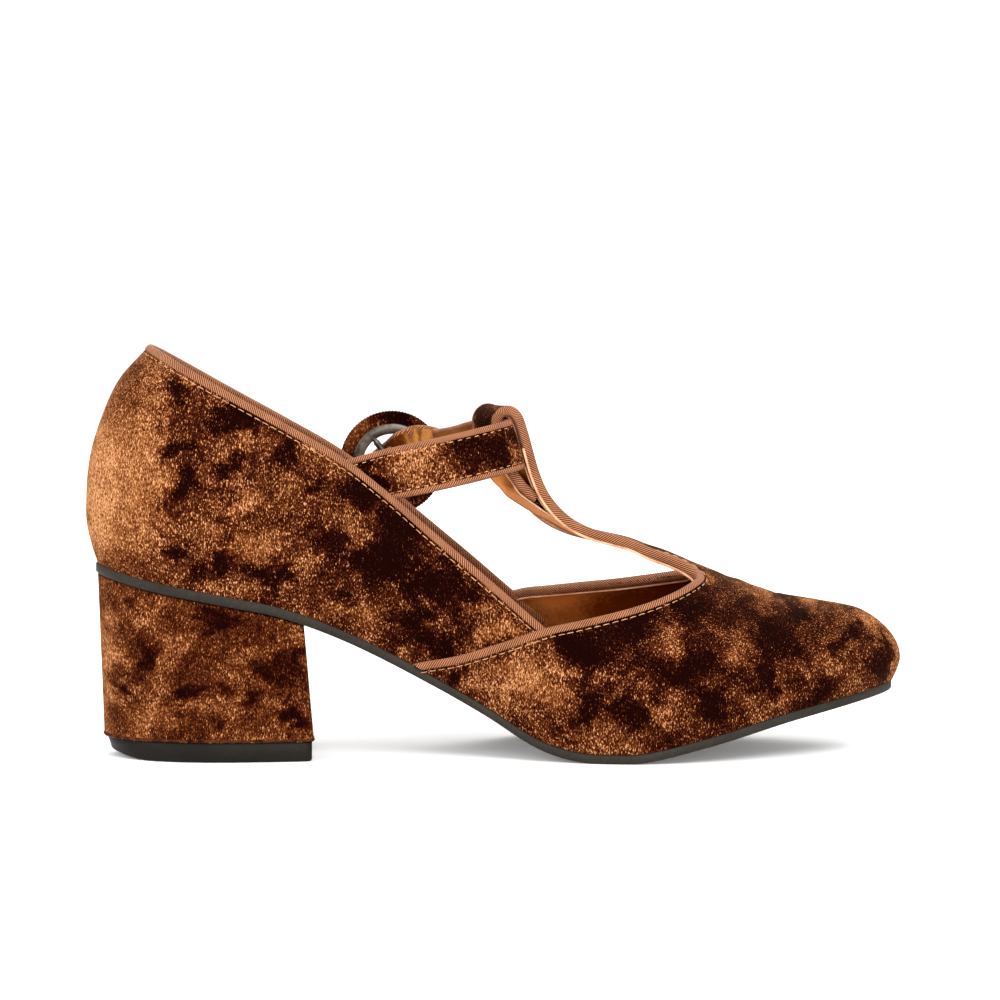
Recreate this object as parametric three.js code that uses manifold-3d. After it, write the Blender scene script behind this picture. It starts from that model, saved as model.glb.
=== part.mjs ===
// Left T-strap pump on a covered block heel: a hollow upper with its T-bar and loop, a thin sole, an insole,
// a heel with its top lift, and an ankle strap closed by a covered ring buckle.
// Millimetres. +X runs to the toe, +Y to the outer side of the foot, +Z up, and the floor is Z = 0.
// The origin lies under the middle of the heel, on the floor.
import * as THREE from "three";
import { mergeVertices } from "three/addons/utils/BufferGeometryUtils.js";
import Module from "manifold-3d";

const wasm = await Module();
wasm.setup();

// Driving sizes of the last
const soleLength = 240.5; // level distance from the back of the heel seat to the tip of the sole
const ballWidth = 78; // width across the ball of the foot
const seatHeight = 55; // rise of the sole's underside at the very back of the heel
const toeSpring = 17.5; // rise of the sole's underside at its tip
const instepDepth = 64; // height of the last over the sole at the instep
const backHeight = 65; // height of the quarter over the sole at the centre back

// Driving sizes of the pieces
const soleEdge = 3; // thickness of the sole at its edge
const soleMargin = 0.5; // the sole stands out past the upper's lower edge by this
const insoleThick = 1.6;
const wall = 1.6; // velvet, lining and glue of the quarter
const overlay = 0.8; // the vamp lies over the quarter by one more layer of cloth
const bead = 0.45; // the binding stands proud of the cloth
const bindingWidth = 2.4;
const gap = 0.35; // clearance left between curved neighbours
const liftLength = 60.6;
const liftWidth = 50;
const liftHeight = 6;
const liftInset = 0.6; // the lift is smaller all round than the heel over it
const heelBottomLength = 62.2;
const barWidth = 17.5; // T-bar at its foot
const barTopWidth = 15; // T-bar where it folds over the ankle strap
const barThick = 2.2;
const loopSlack = 1.25; // room in the loop on either face of the ankle strap
const strapWidth = 14.8;
const strapThick = 2;

// Driving sizes of the buckle
const ringDiameter = 32;
const ringBand = 5.6; // radial width of the covered ring
const ringThick = 3;
const frameLip = 0.9; // the metal frame shows this far inside the covered ring
const frameThick = 1;
const pinRadius = 0.8; // the bar across the frame
const prongRadius = 0.6;
const tabWidth = 9;
const tabThick = 1.2;
const eyeletLength = 6;
const eyeletWidth = 2.6;
const eyeletMiddle = -4.2; // measured from the pin towards the strap's tip

const half = 0.5;
const halfBall = ballWidth * half;
const heelBack = -33; // the back of the heel seat, behind the middle of the lift

// Shares of the sole length where the ribs of the last stop fanning round the heel, and start round the toe
const heelSpine = 0.15;
const toeSpine = 0.854;

// The sole's underside from heel to toe: seat is a share of the seat height, spring of the toe spring.
const soleLine = [
  { along: 0, seat: 1, spring: 0 },
  { along: 0.056, seat: 0.936, spring: 0 },
  { along: 0.161, seat: 0.845, spring: 0 },
  { along: 0.222, seat: 0.787, spring: 0 },
  { along: 0.297, seat: 0.664, spring: 0 },
  { along: 0.414, seat: 0.397, spring: 0 },
  { along: 0.478, seat: 0.238, spring: 0 },
  { along: 0.537, seat: 0.078, spring: 0 },
  { along: 0.57, seat: 0.024, spring: 0 },
  { along: 0.605, seat: 0, spring: 0 },
  { along: 0.655, seat: 0, spring: 0 },
  { along: 0.743, seat: 0, spring: 0.25 },
  { along: 0.854, seat: 0, spring: 0.63 },
  { along: 1, seat: 0, spring: 1 },
];

// The plan of the last: fullness of its inner and outer side, as shares of half the ball width.
const planLine = [
  { along: 0, inner: 1.22, outer: 1.22 },
  { along: 0.042, inner: 1.16, outer: 1.16 },
  { along: 0.104, inner: 1.04, outer: 1.05 },
  { along: 0.19, inner: 0.85, outer: 0.89 },
  { along: 0.29, inner: 0.675, outer: 0.765 },
  { along: 0.4, inner: 0.53, outer: 0.69 },
  { along: 0.48, inner: 0.615, outer: 0.79 },
  { along: 0.56, inner: 0.81, outer: 0.925 },
  { along: 0.625, inner: 0.967, outer: 1.033 },
  { along: 0.7, inner: 1.075, outer: 1.09 },
  { along: 0.79, inner: 1.09, outer: 1.056 },
  { along: 0.854, inner: 1.05, outer: 0.985 },
  { along: 0.917, inner: 0.985, outer: 0.92 },
  { along: 1, inner: 0.8, outer: 0.8 },
];

// Cross sections of the last: depth is a share of the instep depth, swell how far the inner and outer
// wall bellies out over the sole, square how upright the wall stands before it turns in.
const sections = [
  { along: 0.15, depth: 1.53, innerSwell: 0.1, outerSwell: 0.08, square: 3 },
  { along: 0.225, depth: 1.36, innerSwell: 0.12, outerSwell: 0.07, square: 3 },
  { along: 0.308, depth: 1.24, innerSwell: 0.17, outerSwell: 0.06, square: 3 },
  { along: 0.37, depth: 1.17, innerSwell: 0.2, outerSwell: 0.06, square: 3 },
  { along: 0.432, depth: 1.1, innerSwell: 0.2, outerSwell: 0.07, square: 2.9 },
  { along: 0.495, depth: 1.086, innerSwell: 0.14, outerSwell: 0.08, square: 2.6 },
  { along: 0.557, depth: 1.07, innerSwell: 0.07, outerSwell: 0.06, square: 2.3 },
  { along: 0.604, depth: 1.004, innerSwell: 0.05, outerSwell: 0.05, square: 2.15 },
  { along: 0.65, depth: 0.945, innerSwell: 0.05, outerSwell: 0.05, square: 2.1 },
  { along: 0.7, depth: 0.87, innerSwell: 0.05, outerSwell: 0.05, square: 2.1 },
  { along: 0.752, depth: 0.744, innerSwell: 0.05, outerSwell: 0.05, square: 2.1 },
  { along: 0.8, depth: 0.627, innerSwell: 0.06, outerSwell: 0.06, square: 2.2 },
  { along: 0.854, depth: 0.502, innerSwell: 0.07, outerSwell: 0.07, square: 2.3 },
];

// Profiles of the centre back and of the toe: reach from the spine of the last at each share of its depth.
const heelCurve = [
  { along: 0, reach: 1 },
  { along: 0.047, reach: 1.039 },
  { along: 0.127, reach: 1.086 },
  { along: 0.2, reach: 1.092 },
  { along: 0.353, reach: 1.058 },
  { along: 0.487, reach: 0.956 },
  { along: 0.616, reach: 0.8 },
  { along: 0.722, reach: 0.56 },
  { along: 1, reach: 0 },
];
const toeCurve = [
  { along: 0, reach: 1 },
  { along: 0.1, reach: 1.035 },
  { along: 0.25, reach: 1.065 },
  { along: 0.44, reach: 1.03 },
  { along: 0.617, reach: 0.93 },
  { along: 0.782, reach: 0.765 },
  { along: 0.842, reach: 0.655 },
  { along: 0.917, reach: 0.375 },
  { along: 0.977, reach: 0.115 },
  { along: 1, reach: 0 },
];

// The cut edges of the upper seen from the side. Places are shares of the sole length, heights over the
// floor shares of the heel's back, which is the seat height and the quarter's back height together.
const topline = [
  { along: -0.1, inner: 1.13, outer: 1.13 },
  { along: 0.067, inner: 1, outer: 1 },
  { along: 0.105, inner: 0.957, outer: 0.957 },
  { along: 0.161, inner: 0.894, outer: 0.894 },
  { along: 0.237, inner: 0.81, outer: 0.812 },
  { along: 0.309, inner: 0.724, outer: 0.73 },
  { along: 0.364, inner: 0.638, outer: 0.648 },
  { along: 0.408, inner: 0.562, outer: 0.575 },
  { along: 0.478, inner: 0.444, outer: 0.459 },
  { along: 0.55, inner: 0.32, outer: 0.336 },
  { along: 0.58, inner: 0.27, outer: 0.286 },
];
const innerVampEdge = [
  { along: 0.37, level: 0.222 },
  { along: 0.408, level: 0.238 },
  { along: 0.432, level: 0.246 },
  { along: 0.469, level: 0.268 },
  { along: 0.505, level: 0.293 },
  { along: 0.548, level: 0.323 },
  { along: 0.591, level: 0.341 },
  { along: 0.63, level: 0.358 },
  { along: 0.669, level: 0.377 },
  { along: 0.703, level: 0.398 },
  { along: 0.725, level: 0.414 },
  { along: 0.749, level: 0.434 },
];
const outerVampEdge = [
  { along: 0.37, level: 0.222 },
  { along: 0.408, level: 0.24 },
  { along: 0.45, level: 0.275 },
  { along: 0.495, level: 0.33 },
  { along: 0.535, level: 0.368 },
  { along: 0.58, level: 0.38 },
  { along: 0.62, level: 0.389 },
  { along: 0.669, level: 0.4 },
  { along: 0.71, level: 0.413 },
  { along: 0.749, level: 0.43 },
];
const throatAlong = 0.749; // the front of the cut-outs on either side of the T-bar

function smooth(rows, column) {
  const places = rows.map((row) => row.along);
  const values = rows.map((row) => row[column]);
  const curve = new THREE.CubicInterpolant(places, values, 1);
  return (along) => curve.evaluate(along)[0];
}

const { clamp, lerp, degToRad } = THREE.MathUtils;
const inner = -1;
const outer = 1;
const seatShare = smooth(soleLine, "seat");
const springShare = smooth(soleLine, "spring");
const fullness = new Map([
  [inner, smooth(planLine, "inner")],
  [outer, smooth(planLine, "outer")],
]);
const swell = new Map([
  [inner, smooth(sections, "innerSwell")],
  [outer, smooth(sections, "outerSwell")],
]);
const depthShare = smooth(sections, "depth");
const squareness = smooth(sections, "square");
const heelReach = smooth(heelCurve, "reach");
const toeReach = smooth(toeCurve, "reach");
const topLevel = new Map([
  [inner, smooth(topline, "inner")],
  [outer, smooth(topline, "outer")],
]);
const vampLevel = new Map([
  [inner, smooth(innerVampEdge, "level")],
  [outer, smooth(outerVampEdge, "level")],
]);

const xAt = (along) => heelBack + soleLength * along;
const alongAt = (x) => (x - heelBack) / soleLength;
const underside = (along) => seatShare(along) * seatHeight + springShare(along) * toeSpring;
const soleTop = (along) => underside(along) + soleEdge;
const backTop = soleEdge + seatHeight + backHeight;

function halfBreadth(side, along) {
  const roundEnds = 2 * Math.sqrt(Math.max(along * (1 - along), 0));
  return roundEnds * fullness.get(side)(along) * halfBall;
}

// One point of the last, grown by some thickness: side and along name the rib, rise is a share of its depth.
function lastPoint(side, along, rise, grow) {
  const spine = clamp(along, heelSpine, toeSpine);
  const foot = new THREE.Vector2(xAt(along) - xAt(spine), side * halfBreadth(side, along));
  const breadth = foot.length();
  const endwise = (foot.x / breadth) ** 2;
  const bulge = swell.get(side)(spine) * 4 * rise * (1 - rise);
  const sideReach = Math.sqrt(Math.max(1 - rise ** squareness(spine), 0)) + bulge;
  const endReach = along < heelSpine ? heelReach(rise) : toeReach(rise);
  const reach = lerp(sideReach, endReach, endwise);
  foot.setLength((breadth + grow) * reach);
  const crown = soleTop(spine) + depthShare(spine) * instepDepth + grow;
  return new THREE.Vector3(xAt(spine) + foot.x, foot.y, lerp(soleTop(along), crown, rise));
}

// Half the width of the last, grown by some thickness, at a place along it and a height over the floor
function widthAt(side, x, z, grow) {
  const along = alongAt(x);
  const crown = soleTop(along) + depthShare(along) * instepDepth + grow;
  const rise = clamp((z - soleTop(along)) / (crown - soleTop(along)), 0, 1);
  return Math.abs(lastPoint(side, along, rise, grow).y);
}

// A closed mesh as a solid for joining and cutting
function solid(geometry) {
  const weld = 1e-3;
  const bare = new THREE.BufferGeometry();
  bare.setAttribute("position", geometry.getAttribute("position"));
  bare.setIndex(geometry.index);
  const merged = mergeVertices(bare, weld);
  const triangles = [];
  for (let i = 0; i < merged.index.count; i += 3) {
    const corners = [0, 1, 2].map((k) => merged.index.getX(i + k));
    if (new Set(corners).size === corners.length) triangles.push(...corners);
  }
  const vertProperties = merged.getAttribute("position").array;
  return new wasm.Manifold(
    new wasm.Mesh({ numProp: 3, vertProperties, triVerts: new Uint32Array(triangles) }),
  );
}

// Moves every vertex of a plain geometry to the place that a function gives for it
function shaped(geometry, place) {
  const position = geometry.getAttribute("position");
  const vertex = new THREE.Vector3();
  for (let i = 0; i < position.count; i += 1) {
    vertex.fromBufferAttribute(position, i);
    position.setXYZ(i, ...place(vertex).toArray());
  }
  return geometry;
}

const heelFan = 5; // ribs round each side of the heel
const ribs = 19; // ribs along each side
const toeFan = 7; // ribs round each side of the toe
const rows = 10; // rows of facets from the sole to the crown
const quarterTurn = Math.PI / 2;

// Places of the ribs along one side: crowded round the heel and the toe, even between
function ribPlaces() {
  const places = [];
  for (let i = 0; i < heelFan; i += 1) {
    places.push(heelSpine * (1 - Math.cos((quarterTurn * i) / heelFan)));
  }
  for (let i = 0; i < ribs; i += 1) places.push(lerp(heelSpine, toeSpine, i / ribs));
  for (let i = toeFan; i >= 0; i -= 1) {
    places.push(1 - (1 - toeSpine) * (1 - Math.cos((quarterTurn * i) / toeFan)));
  }
  return places;
}

// The whole last, grown by some thickness, closed along its crown and under its sole
function lastSolid(grow) {
  const places = ribPlaces();
  const last = places.length - 1;
  const below = 2; // two more rows of facets drop past the sole and close the underside
  const drop = 2 * soleEdge;
  const grid = new THREE.PlaneGeometry(2 * last, rows + below, 2 * last, rows + below);
  const place = (vertex) => {
    const step = Math.round(vertex.x + last);
    const row = Math.round(vertex.y + (rows + below) * half) - below;
    const side = step <= last ? inner : outer;
    const along = places[step <= last ? step : 2 * last - step];
    if (row < -1) {
      const spine = clamp(along, heelSpine, toeSpine);
      return new THREE.Vector3(xAt(spine), 0, soleTop(spine) - drop);
    }
    const rise = Math.sin((quarterTurn * Math.max(row, 0)) / rows);
    const point = lastPoint(side, along, rise, grow);
    if (row < 0) point.z -= drop;
    return point;
  };
  return solid(shaped(grid, place));
}

const reachOut = 100; // cutting prisms run well past the shoe

// A prism with its outline seen from the side, between two places across the shoe
function sidePrism(points, from, to) {
  const shape = new THREE.Shape(points);
  const prism = new THREE.ExtrudeGeometry(shape, { depth: to - from, bevelEnabled: false });
  return solid(prism.rotateX(quarterTurn).translate(0, to, 0));
}

// A prism with its outline seen from above, between two heights
function planPrism(points, from, to) {
  const shape = new THREE.Shape(points);
  const prism = new THREE.ExtrudeGeometry(shape, { depth: to - from, bevelEnabled: false });
  return solid(prism.translate(0, 0, from));
}

function sampled(from, to, steps, point) {
  return Array.from({ length: steps + 1 }, (_, i) => point(lerp(from, to, i / steps)));
}

const point2 = (along, z) => new THREE.Vector2(xAt(along), z);
const soleSteps = 48;
const edgeSteps = 18;
const behind = -0.06; // shares of the sole length just past both ends of the shoe
const ahead = 1.06;

// The sole's underside seen from the side, raised by some height
function soleLineAt(height) {
  return sampled(behind, ahead, soleSteps, (s) => point2(s, underside(clamp(s, 0, 1)) + height));
}

// What lies between the sole's underside raised by some height and a level lid or floor
function besideSole(height, level) {
  return sidePrism([...soleLineAt(height), point2(ahead, level), point2(behind, level)], -reachOut, reachOut);
}

function sideHalf(side, outline) {
  return side === inner ? sidePrism(outline, -reachOut, 0) : sidePrism(outline, 0, reachOut);
}

// The quarter on one side, under its topline, or only the bound edge of some depth
const toplineEnd = 0.57; // from here on the vamp covers it
function quarterRegion(side, depth) {
  const level = topLevel.get(side);
  const lid = sampled(toplineEnd, behind, edgeSteps, (s) => point2(s, level(s) * backTop));
  const bottom = sampled(behind, toplineEnd, edgeSteps, (s) => point2(s, level(s) * backTop - depth));
  return sideHalf(side, [...bottom, ...lid]);
}

// Half the width of the T-bar along the vamp: it flares into the round corners of the throat.
const taperFrom = 0.6;
const flareFrom = 0.716;
const flare = 4.5;
function barHalf(along) {
  const taper = clamp((along - taperFrom) / (flareFrom - taperFrom), 0, 1);
  const straight = lerp(barTopWidth, barWidth, taper) * half;
  const turn = clamp((along - flareFrom) / (throatAlong - flareFrom), 0, 1);
  return straight + flare * (1 - Math.sqrt(1 - turn ** 2));
}

// The vamp on one side, forward of its bound edge, or only that edge of some depth. The edge climbs from
// under the sole to the corner of the throat.
function vampRegion(side, depth) {
  const from = innerVampEdge[0].along;
  const level = vampLevel.get(side);
  const edge = sampled(throatAlong, from, edgeSteps, (s) => point2(s, level(s) * backTop));
  const low = edge.map((point) => point.clone().setY(point.y - depth)).reverse();
  if (depth < backHeight) return sideHalf(side, [...low, ...edge]);
  const ends = [point2(ahead, -depth), point2(ahead, backTop), point2(throatAlong, backTop)];
  return sideHalf(side, [low[0], ...ends, ...edge]);
}

const barRootFrom = 0.7;
function barRoot() {
  const innerEdge = (s) => new THREE.Vector2(xAt(s), -barHalf(s));
  const outerEdge = (s) => new THREE.Vector2(xAt(s), barHalf(s));
  const outline = [
    ...sampled(barRootFrom, throatAlong, edgeSteps, innerEdge),
    ...sampled(throatAlong, barRootFrom, edgeSteps, outerEdge),
  ];
  return planPrism(outline, soleTop(barRootFrom) + instepDepth * half, backTop);
}

// A band swept along rows of centre points, each with its own direction across the band. Its facets are split
// along the middle and along the inner edge of the binding on either side.
function band(rows, stepsPerRow, widthOf, thick) {
  const centre = new THREE.CatmullRomCurve3(rows.map((row) => row.at));
  const across = new THREE.CatmullRomCurve3(rows.map((row) => row.across));
  const lines = 4;
  const box = new THREE.BoxGeometry(1, 1, 1, lines, 1, stepsPerRow * (rows.length - 1));
  return solid(
    shaped(box, (vertex) => {
      const t = vertex.z + half;
      const along = centre.getTangent(t);
      const wide = across.getPoint(t);
      wide.addScaledVector(along, -wide.dot(along)).normalize();
      const normal = new THREE.Vector3().crossVectors(along, wide);
      const line = Math.round(vertex.x * lines);
      const bound = Math.abs(line) === lines * half;
      const aside = Math.sign(line) * (widthOf(t) * half - (bound ? 0 : bindingWidth));
      return centre
        .getPoint(t)
        .addScaledVector(wide, aside)
        .addScaledVector(normal, vertex.y * (thick + (bound ? bead : 0)));
    }),
  );
}

// The T-bar above its foot up to its fold, and the tail that comes down behind the ankle strap.
// forward is a share of the sole length, up of the back's height, and turn is degrees about the upright.
const barTurn = 23;
const barFoot = 0.732; // here its middle still lies in the vamp
const barPath = [
  { forward: 0.684, up: 0.501, turn: 4 },
  { forward: 0.643, up: 0.52, turn: 9 },
  { forward: 0.605, up: 0.5405, turn: 13 },
  { forward: 0.576, up: 0.57, turn: 16 },
  { forward: 0.55, up: 0.621, turn: 19 },
  { forward: 0.5355, up: 0.674, turn: 21 },
  { forward: 0.5282, up: 0.718, turn: 22 },
  { forward: 0.5225, up: 0.756, turn: barTurn },
  { forward: 0.5166, up: 0.7954, turn: barTurn },
];
const tailPath = [
  { forward: 0.4908, up: 0.761, turn: barTurn },
  { forward: 0.4985, up: 0.716, turn: 22 },
  { forward: 0.5105, up: 0.674, turn: 21 },
  { forward: 0.526, up: 0.64, turn: 20 },
  { forward: 0.56, up: 0.603, turn: 18 },
];
// The fold over the strap, about its own axis: angles in degrees up from level ahead
const foldForward = 0.5005;
const foldUp = 0.809;
const foldAhead = 17;
const foldCrest = 90;
const foldBehind = 193;
const foldLap = 20; // the front and the tail run into each other by this past the crest
const foldRadius = (strapThick + barThick) * half + loopSlack;

function turned(turn) {
  const angle = degToRad(turn);
  return new THREE.Vector3(-Math.sin(angle), Math.cos(angle), 0);
}

function barRows(path) {
  return path.map(({ forward, up, turn }) => {
    return { at: new THREE.Vector3(xAt(forward), 0, up * backTop), across: turned(turn) };
  });
}

// The fold over the ankle strap, between two angles from level
function foldRows(from, to, steps) {
  return sampled(degToRad(from), degToRad(to), steps, (angle) => {
    const x = xAt(foldForward) + foldRadius * Math.cos(angle);
    const z = foldUp * backTop + foldRadius * Math.sin(angle);
    return { at: new THREE.Vector3(x, 0, z), across: turned(barTurn) };
  });
}

function makeUpper() {
  const body = lastSolid(0);
  const raised = lastSolid(bead);
  const vampBody = lastSolid(overlay);
  const vampRaised = lastSolid(overlay + bead);
  const sides = [inner, outer].map((side) =>
    body
      .intersect(quarterRegion(side, reachOut))
      .add(raised.intersect(quarterRegion(side, bindingWidth)))
      .add(vampBody.intersect(vampRegion(side, reachOut)))
      .add(vampRaised.intersect(vampRegion(side, bindingWidth))),
  );
  const shell = sides[0]
    .add(sides[1])
    .add(vampBody.intersect(barRoot()))
    .subtract(lastSolid(-wall))
    .intersect(besideSole(soleEdge + gap, reachOut + backTop));
  const onVamp = lastPoint(inner, barFoot, 1, overlay - barThick * half);
  const foot = { at: new THREE.Vector3(onVamp.x, 0, onVamp.z), across: turned(0) };
  const front = [foot, ...barRows(barPath), ...foldRows(foldAhead, foldCrest + foldLap, 4)];
  const tail = [...foldRows(foldCrest - foldLap, foldBehind, 5), ...barRows(tailPath)];
  const wideAt = (t) => lerp(barWidth, barTopWidth, t);
  return shell
    .add(band(front, 2, wideAt, barThick))
    .add(band(tail, 2, () => barTopWidth, barThick));
}

// The plan of the sole, grown or shrunk by some margin
function planOutline(margin, to) {
  const places = [...ribPlaces().filter((s) => s < to), to];
  const edge = (side) => (s) => {
    const breadth = halfBreadth(side, s);
    const spine = clamp(s, heelSpine, toeSpine);
    const foot = new THREE.Vector2(xAt(s) - xAt(spine), side * breadth);
    foot.setLength(foot.length() + margin);
    return new THREE.Vector2(xAt(spine) + foot.x, foot.y);
  };
  const innerEdge = places.map(edge(inner));
  const outerEdge = places.map(edge(outer)).reverse();
  const tip = to === 1 ? 1 : 0;
  return [...innerEdge, ...outerEdge.slice(tip, -1)];
}

// A layer of the sole, with a margin round its plan, between two heights over the sole's underside
function soleLayer(margin, low, high) {
  const side = sidePrism([...soleLineAt(low), ...soleLineAt(high).reverse()], -reachOut, reachOut);
  return planPrism(planOutline(margin, 1), 0, reachOut).intersect(side);
}

const breast = 0.2485; // the front of the heel, as a share of the sole length
function makeHeel() {
  const top = seatHeight;
  const outline = planOutline(0, breast);
  const shape = new THREE.Shape(outline);
  const steps = 4;
  const block = new THREE.ExtrudeGeometry(shape, { depth: 1, steps, bevelEnabled: false });
  const topLength = xAt(breast) - heelBack;
  const front = liftLength * half + liftInset;
  shaped(block, (vertex) => {
    const long = lerp(heelBottomLength / topLength, 1, vertex.z);
    const wide = lerp((liftWidth + 2 * liftInset) / (2 * halfBreadth(outer, breast)), 1, vertex.z);
    const face = lerp(front, xAt(breast), vertex.z);
    const x = face - (xAt(breast) - vertex.x) * long;
    return new THREE.Vector3(x, vertex.y * wide, lerp(liftHeight, top, vertex.z));
  });
  return solid(block).intersect(besideSole(-gap, -reachOut));
}

function makeLift() {
  const shape = new THREE.Shape(planOutline(0, breast));
  const steps = 3;
  const block = new THREE.ExtrudeGeometry(shape, { depth: 1, steps, bevelEnabled: false });
  const topLength = xAt(breast) - heelBack;
  const edgeRound = 0.5;
  const backRound = 2.4;
  shaped(block, (vertex) => {
    const fromFront = (xAt(breast) - vertex.x) / topLength;
    const lowest = vertex.z < 1 / steps ? 1 : 0;
    const round = lowest * lerp(edgeRound, backRound, fromFront ** 4);
    const wide = (liftWidth - 2 * lowest * edgeRound) / (2 * halfBreadth(outer, breast));
    const x = liftLength * half - lowest * edgeRound - fromFront * (liftLength - round - lowest * edgeRound);
    return new THREE.Vector3(x, vertex.y * wide, vertex.z * liftHeight);
  });
  return solid(block);
}

// The buckle lies over the outer quarter. Its own axes run towards the strap's tip, up its pin, and outwards.
// Routes through it are given in shares of the ring's radius.
const ringRadius = ringDiameter * half;
const buckleAlong = 0.3765;
const buckleLevel = 0.6915;
const buckleSlope = degToRad(37);
const buckleOut = 9; // how far its plane stands off the quarter's topline
const buckleX = xAt(buckleAlong);
const buckleZ = buckleLevel * backTop;
const buckleTopline = topLevel.get(outer)(buckleAlong) * backTop;
const buckleY = widthAt(outer, buckleX, buckleTopline, 0) + buckleOut;
const frameOut = -1; // the pin and the metal frame lie just inside the buckle's plane
const ringInside = ringRadius - ringBand;
const ringRound = 0.42; // its padded edges are rounded by this share of its thickness
const ringSides = 28;

function fromBuckle(tipward, pinward, outward) {
  const cos = Math.cos(buckleSlope);
  const sin = Math.sin(buckleSlope);
  return new THREE.Vector3(
    buckleX - tipward * cos - pinward * sin,
    buckleY + outward,
    buckleZ - tipward * sin + pinward * cos,
  );
}

const alongPin = fromBuckle(0, 1, 0).sub(fromBuckle(0, 0, 0));

function onBuckle(geometry) {
  return solid(shaped(geometry, ({ x, y, z }) => fromBuckle(x, y, z)));
}

// A ring about the buckle's own outward axis, from its closed profile of radius and height
function ringOf(profile) {
  return onBuckle(new THREE.LatheGeometry([...profile, profile[0]], ringSides).rotateX(quarterTurn));
}

function makeRing() {
  const corner = ringThick * ringRound;
  const low = frameOut + frameThick * half + gap;
  const centres = [
    [ringRadius - corner, low + corner, -1],
    [ringRadius - corner, low + ringThick - corner, 0],
    [ringInside + corner, low + ringThick - corner, 1],
    [ringInside + corner, low + corner, 2],
  ];
  const profile = centres.flatMap(([radius, height, turns]) =>
    sampled(turns * quarterTurn, (turns + 1) * quarterTurn, 2, (angle) => {
      return new THREE.Vector2(radius + corner * Math.cos(angle), height + corner * Math.sin(angle));
    }),
  );
  return ringOf(profile);
}

function makeFrame() {
  const inside = ringInside - frameLip;
  const outside = ringInside + 2 * frameLip;
  const low = frameOut - frameThick * half;
  const high = frameOut + frameThick * half;
  const corners = [
    [inside, low],
    [outside, low],
    [outside, high],
    [inside, high],
  ];
  const lip = ringOf(corners.map(([radius, height]) => new THREE.Vector2(radius, height)));
  const pin = new THREE.CylinderGeometry(pinRadius, pinRadius, inside + outside, 10);
  return lip.add(onBuckle(pin.translate(0, 0, frameOut)));
}

// The prong turns on the pin, comes up through the strap's eyelet and rests on the frame's front lip
function makeProng() {
  const loopRadius = pinRadius + gap + prongRadius;
  const loop = new THREE.TorusGeometry(loopRadius, prongRadius, 8, 14).rotateX(quarterTurn);
  const rest = frameOut + frameThick * half + gap + prongRadius;
  const route = [
    { tipward: -loopRadius, outward: frameOut },
    { tipward: -0.27 * ringRadius, outward: rest - prongRadius * half },
    { tipward: -0.4 * ringRadius, outward: rest },
    { tipward: gap - ringInside, outward: rest },
  ];
  const points = route.map(({ tipward, outward }) => new THREE.Vector3(tipward, 0, outward));
  const curve = new THREE.CatmullRomCurve3(points);
  const section = new THREE.Shape().absarc(0, 0, prongRadius, 0, 4 * quarterTurn, false);
  const arm = new THREE.ExtrudeGeometry(section, { steps: 10, extrudePath: curve, curveSegments: 4 });
  return onBuckle(loop.translate(0, 0, frameOut)).add(onBuckle(arm));
}

// The tab is sewn to the outer quarter at these places, goes round the pin and ends over it, slit for the prong
const tabSewn = [1.19, 0.875, 0.594];
const tabEnd = 0.1;
function makeTab() {
  const wrap = pinRadius + 1.5 * gap + (tabThick + bead) * half;
  const onQuarter = (tipward) => {
    const { x, z } = fromBuckle(tipward, 0, 0);
    return widthAt(outer, x, z, 0) + 3 * gap + (tabThick + bead) * half - buckleY;
  };
  const sewn = tabSewn.map((share) => {
    return { tipward: share * ringRadius, outward: onQuarter(share * ringRadius) };
  });
  const rising = { tipward: sewn.at(-1).tipward * half, outward: (sewn.at(-1).outward + frameOut - wrap) * half };
  const round = sampled(-quarterTurn, quarterTurn, 4, (angle) => {
    return { tipward: -wrap * Math.cos(angle), outward: frameOut + wrap * Math.sin(angle) };
  });
  const end = { tipward: tabEnd * ringRadius, outward: frameOut + wrap };
  const rows = [...sewn, rising, ...round, end].map(({ tipward, outward }) => {
    return { at: fromBuckle(tipward, 0, outward), across: alongPin };
  });
  const slit = 2 * prongRadius + 4 * gap;
  const slot = new THREE.BoxGeometry(4 * wrap, slit, 4 * wrap).translate(-wrap * half, 0, frameOut);
  return band(rows, 3, () => tabWidth, tabThick).subtract(onBuckle(slot));
}

// The ankle strap: sewn inside the inner quarter, round the front of the ankle through the loop, and through
// the buckle. forward is a share of the sole length, aside of half the ball width, up of the back's height.
const strapRoot = [
  { forward: 0.291, up: 0.653 },
  { forward: 0.324, up: 0.672 },
];
const strapPath = [
  { forward: 0.3597, aside: -0.455, up: 0.69 },
  { forward: 0.4115, aside: -0.487, up: 0.712 },
  { forward: 0.457, aside: -0.45, up: 0.731 },
  { forward: 0.498, aside: -0.34, up: 0.748 },
  { forward: 0.5192, aside: -0.205, up: 0.7565 },
  { forward: 0.5096, aside: -0.026, up: 0.7565 },
  { forward: 0.4985, aside: 0.15, up: 0.755 },
  { forward: 0.4805, aside: 0.35, up: 0.745 },
  { forward: 0.4585, aside: 0.53, up: 0.728 },
];
const throughBuckle = [
  { tipward: -0.838, pinward: -0.375, outward: -0.288 },
  { tipward: -0.588, pinward: -0.119, outward: -0.256 },
  { tipward: -0.413, pinward: -0.019, outward: -0.25 },
  { tipward: -0.288, pinward: 0.006, outward: -0.044 },
  { tipward: -0.163, pinward: 0.006, outward: 0.175 },
  { tipward: 0, pinward: 0, outward: 0.275 },
  { tipward: 0.156, pinward: 0, outward: 0.2 },
  { tipward: 0.275, pinward: 0, outward: 0.015 },
  { tipward: 0.4, pinward: 0, outward: -0.16 },
  { tipward: 0.538, pinward: 0, outward: -0.19 },
  { tipward: 0.75, pinward: 0, outward: -0.175 },
  { tipward: 1, pinward: 0, outward: -0.13 },
  { tipward: 1.313, pinward: 0, outward: -0.08 },
];

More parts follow.
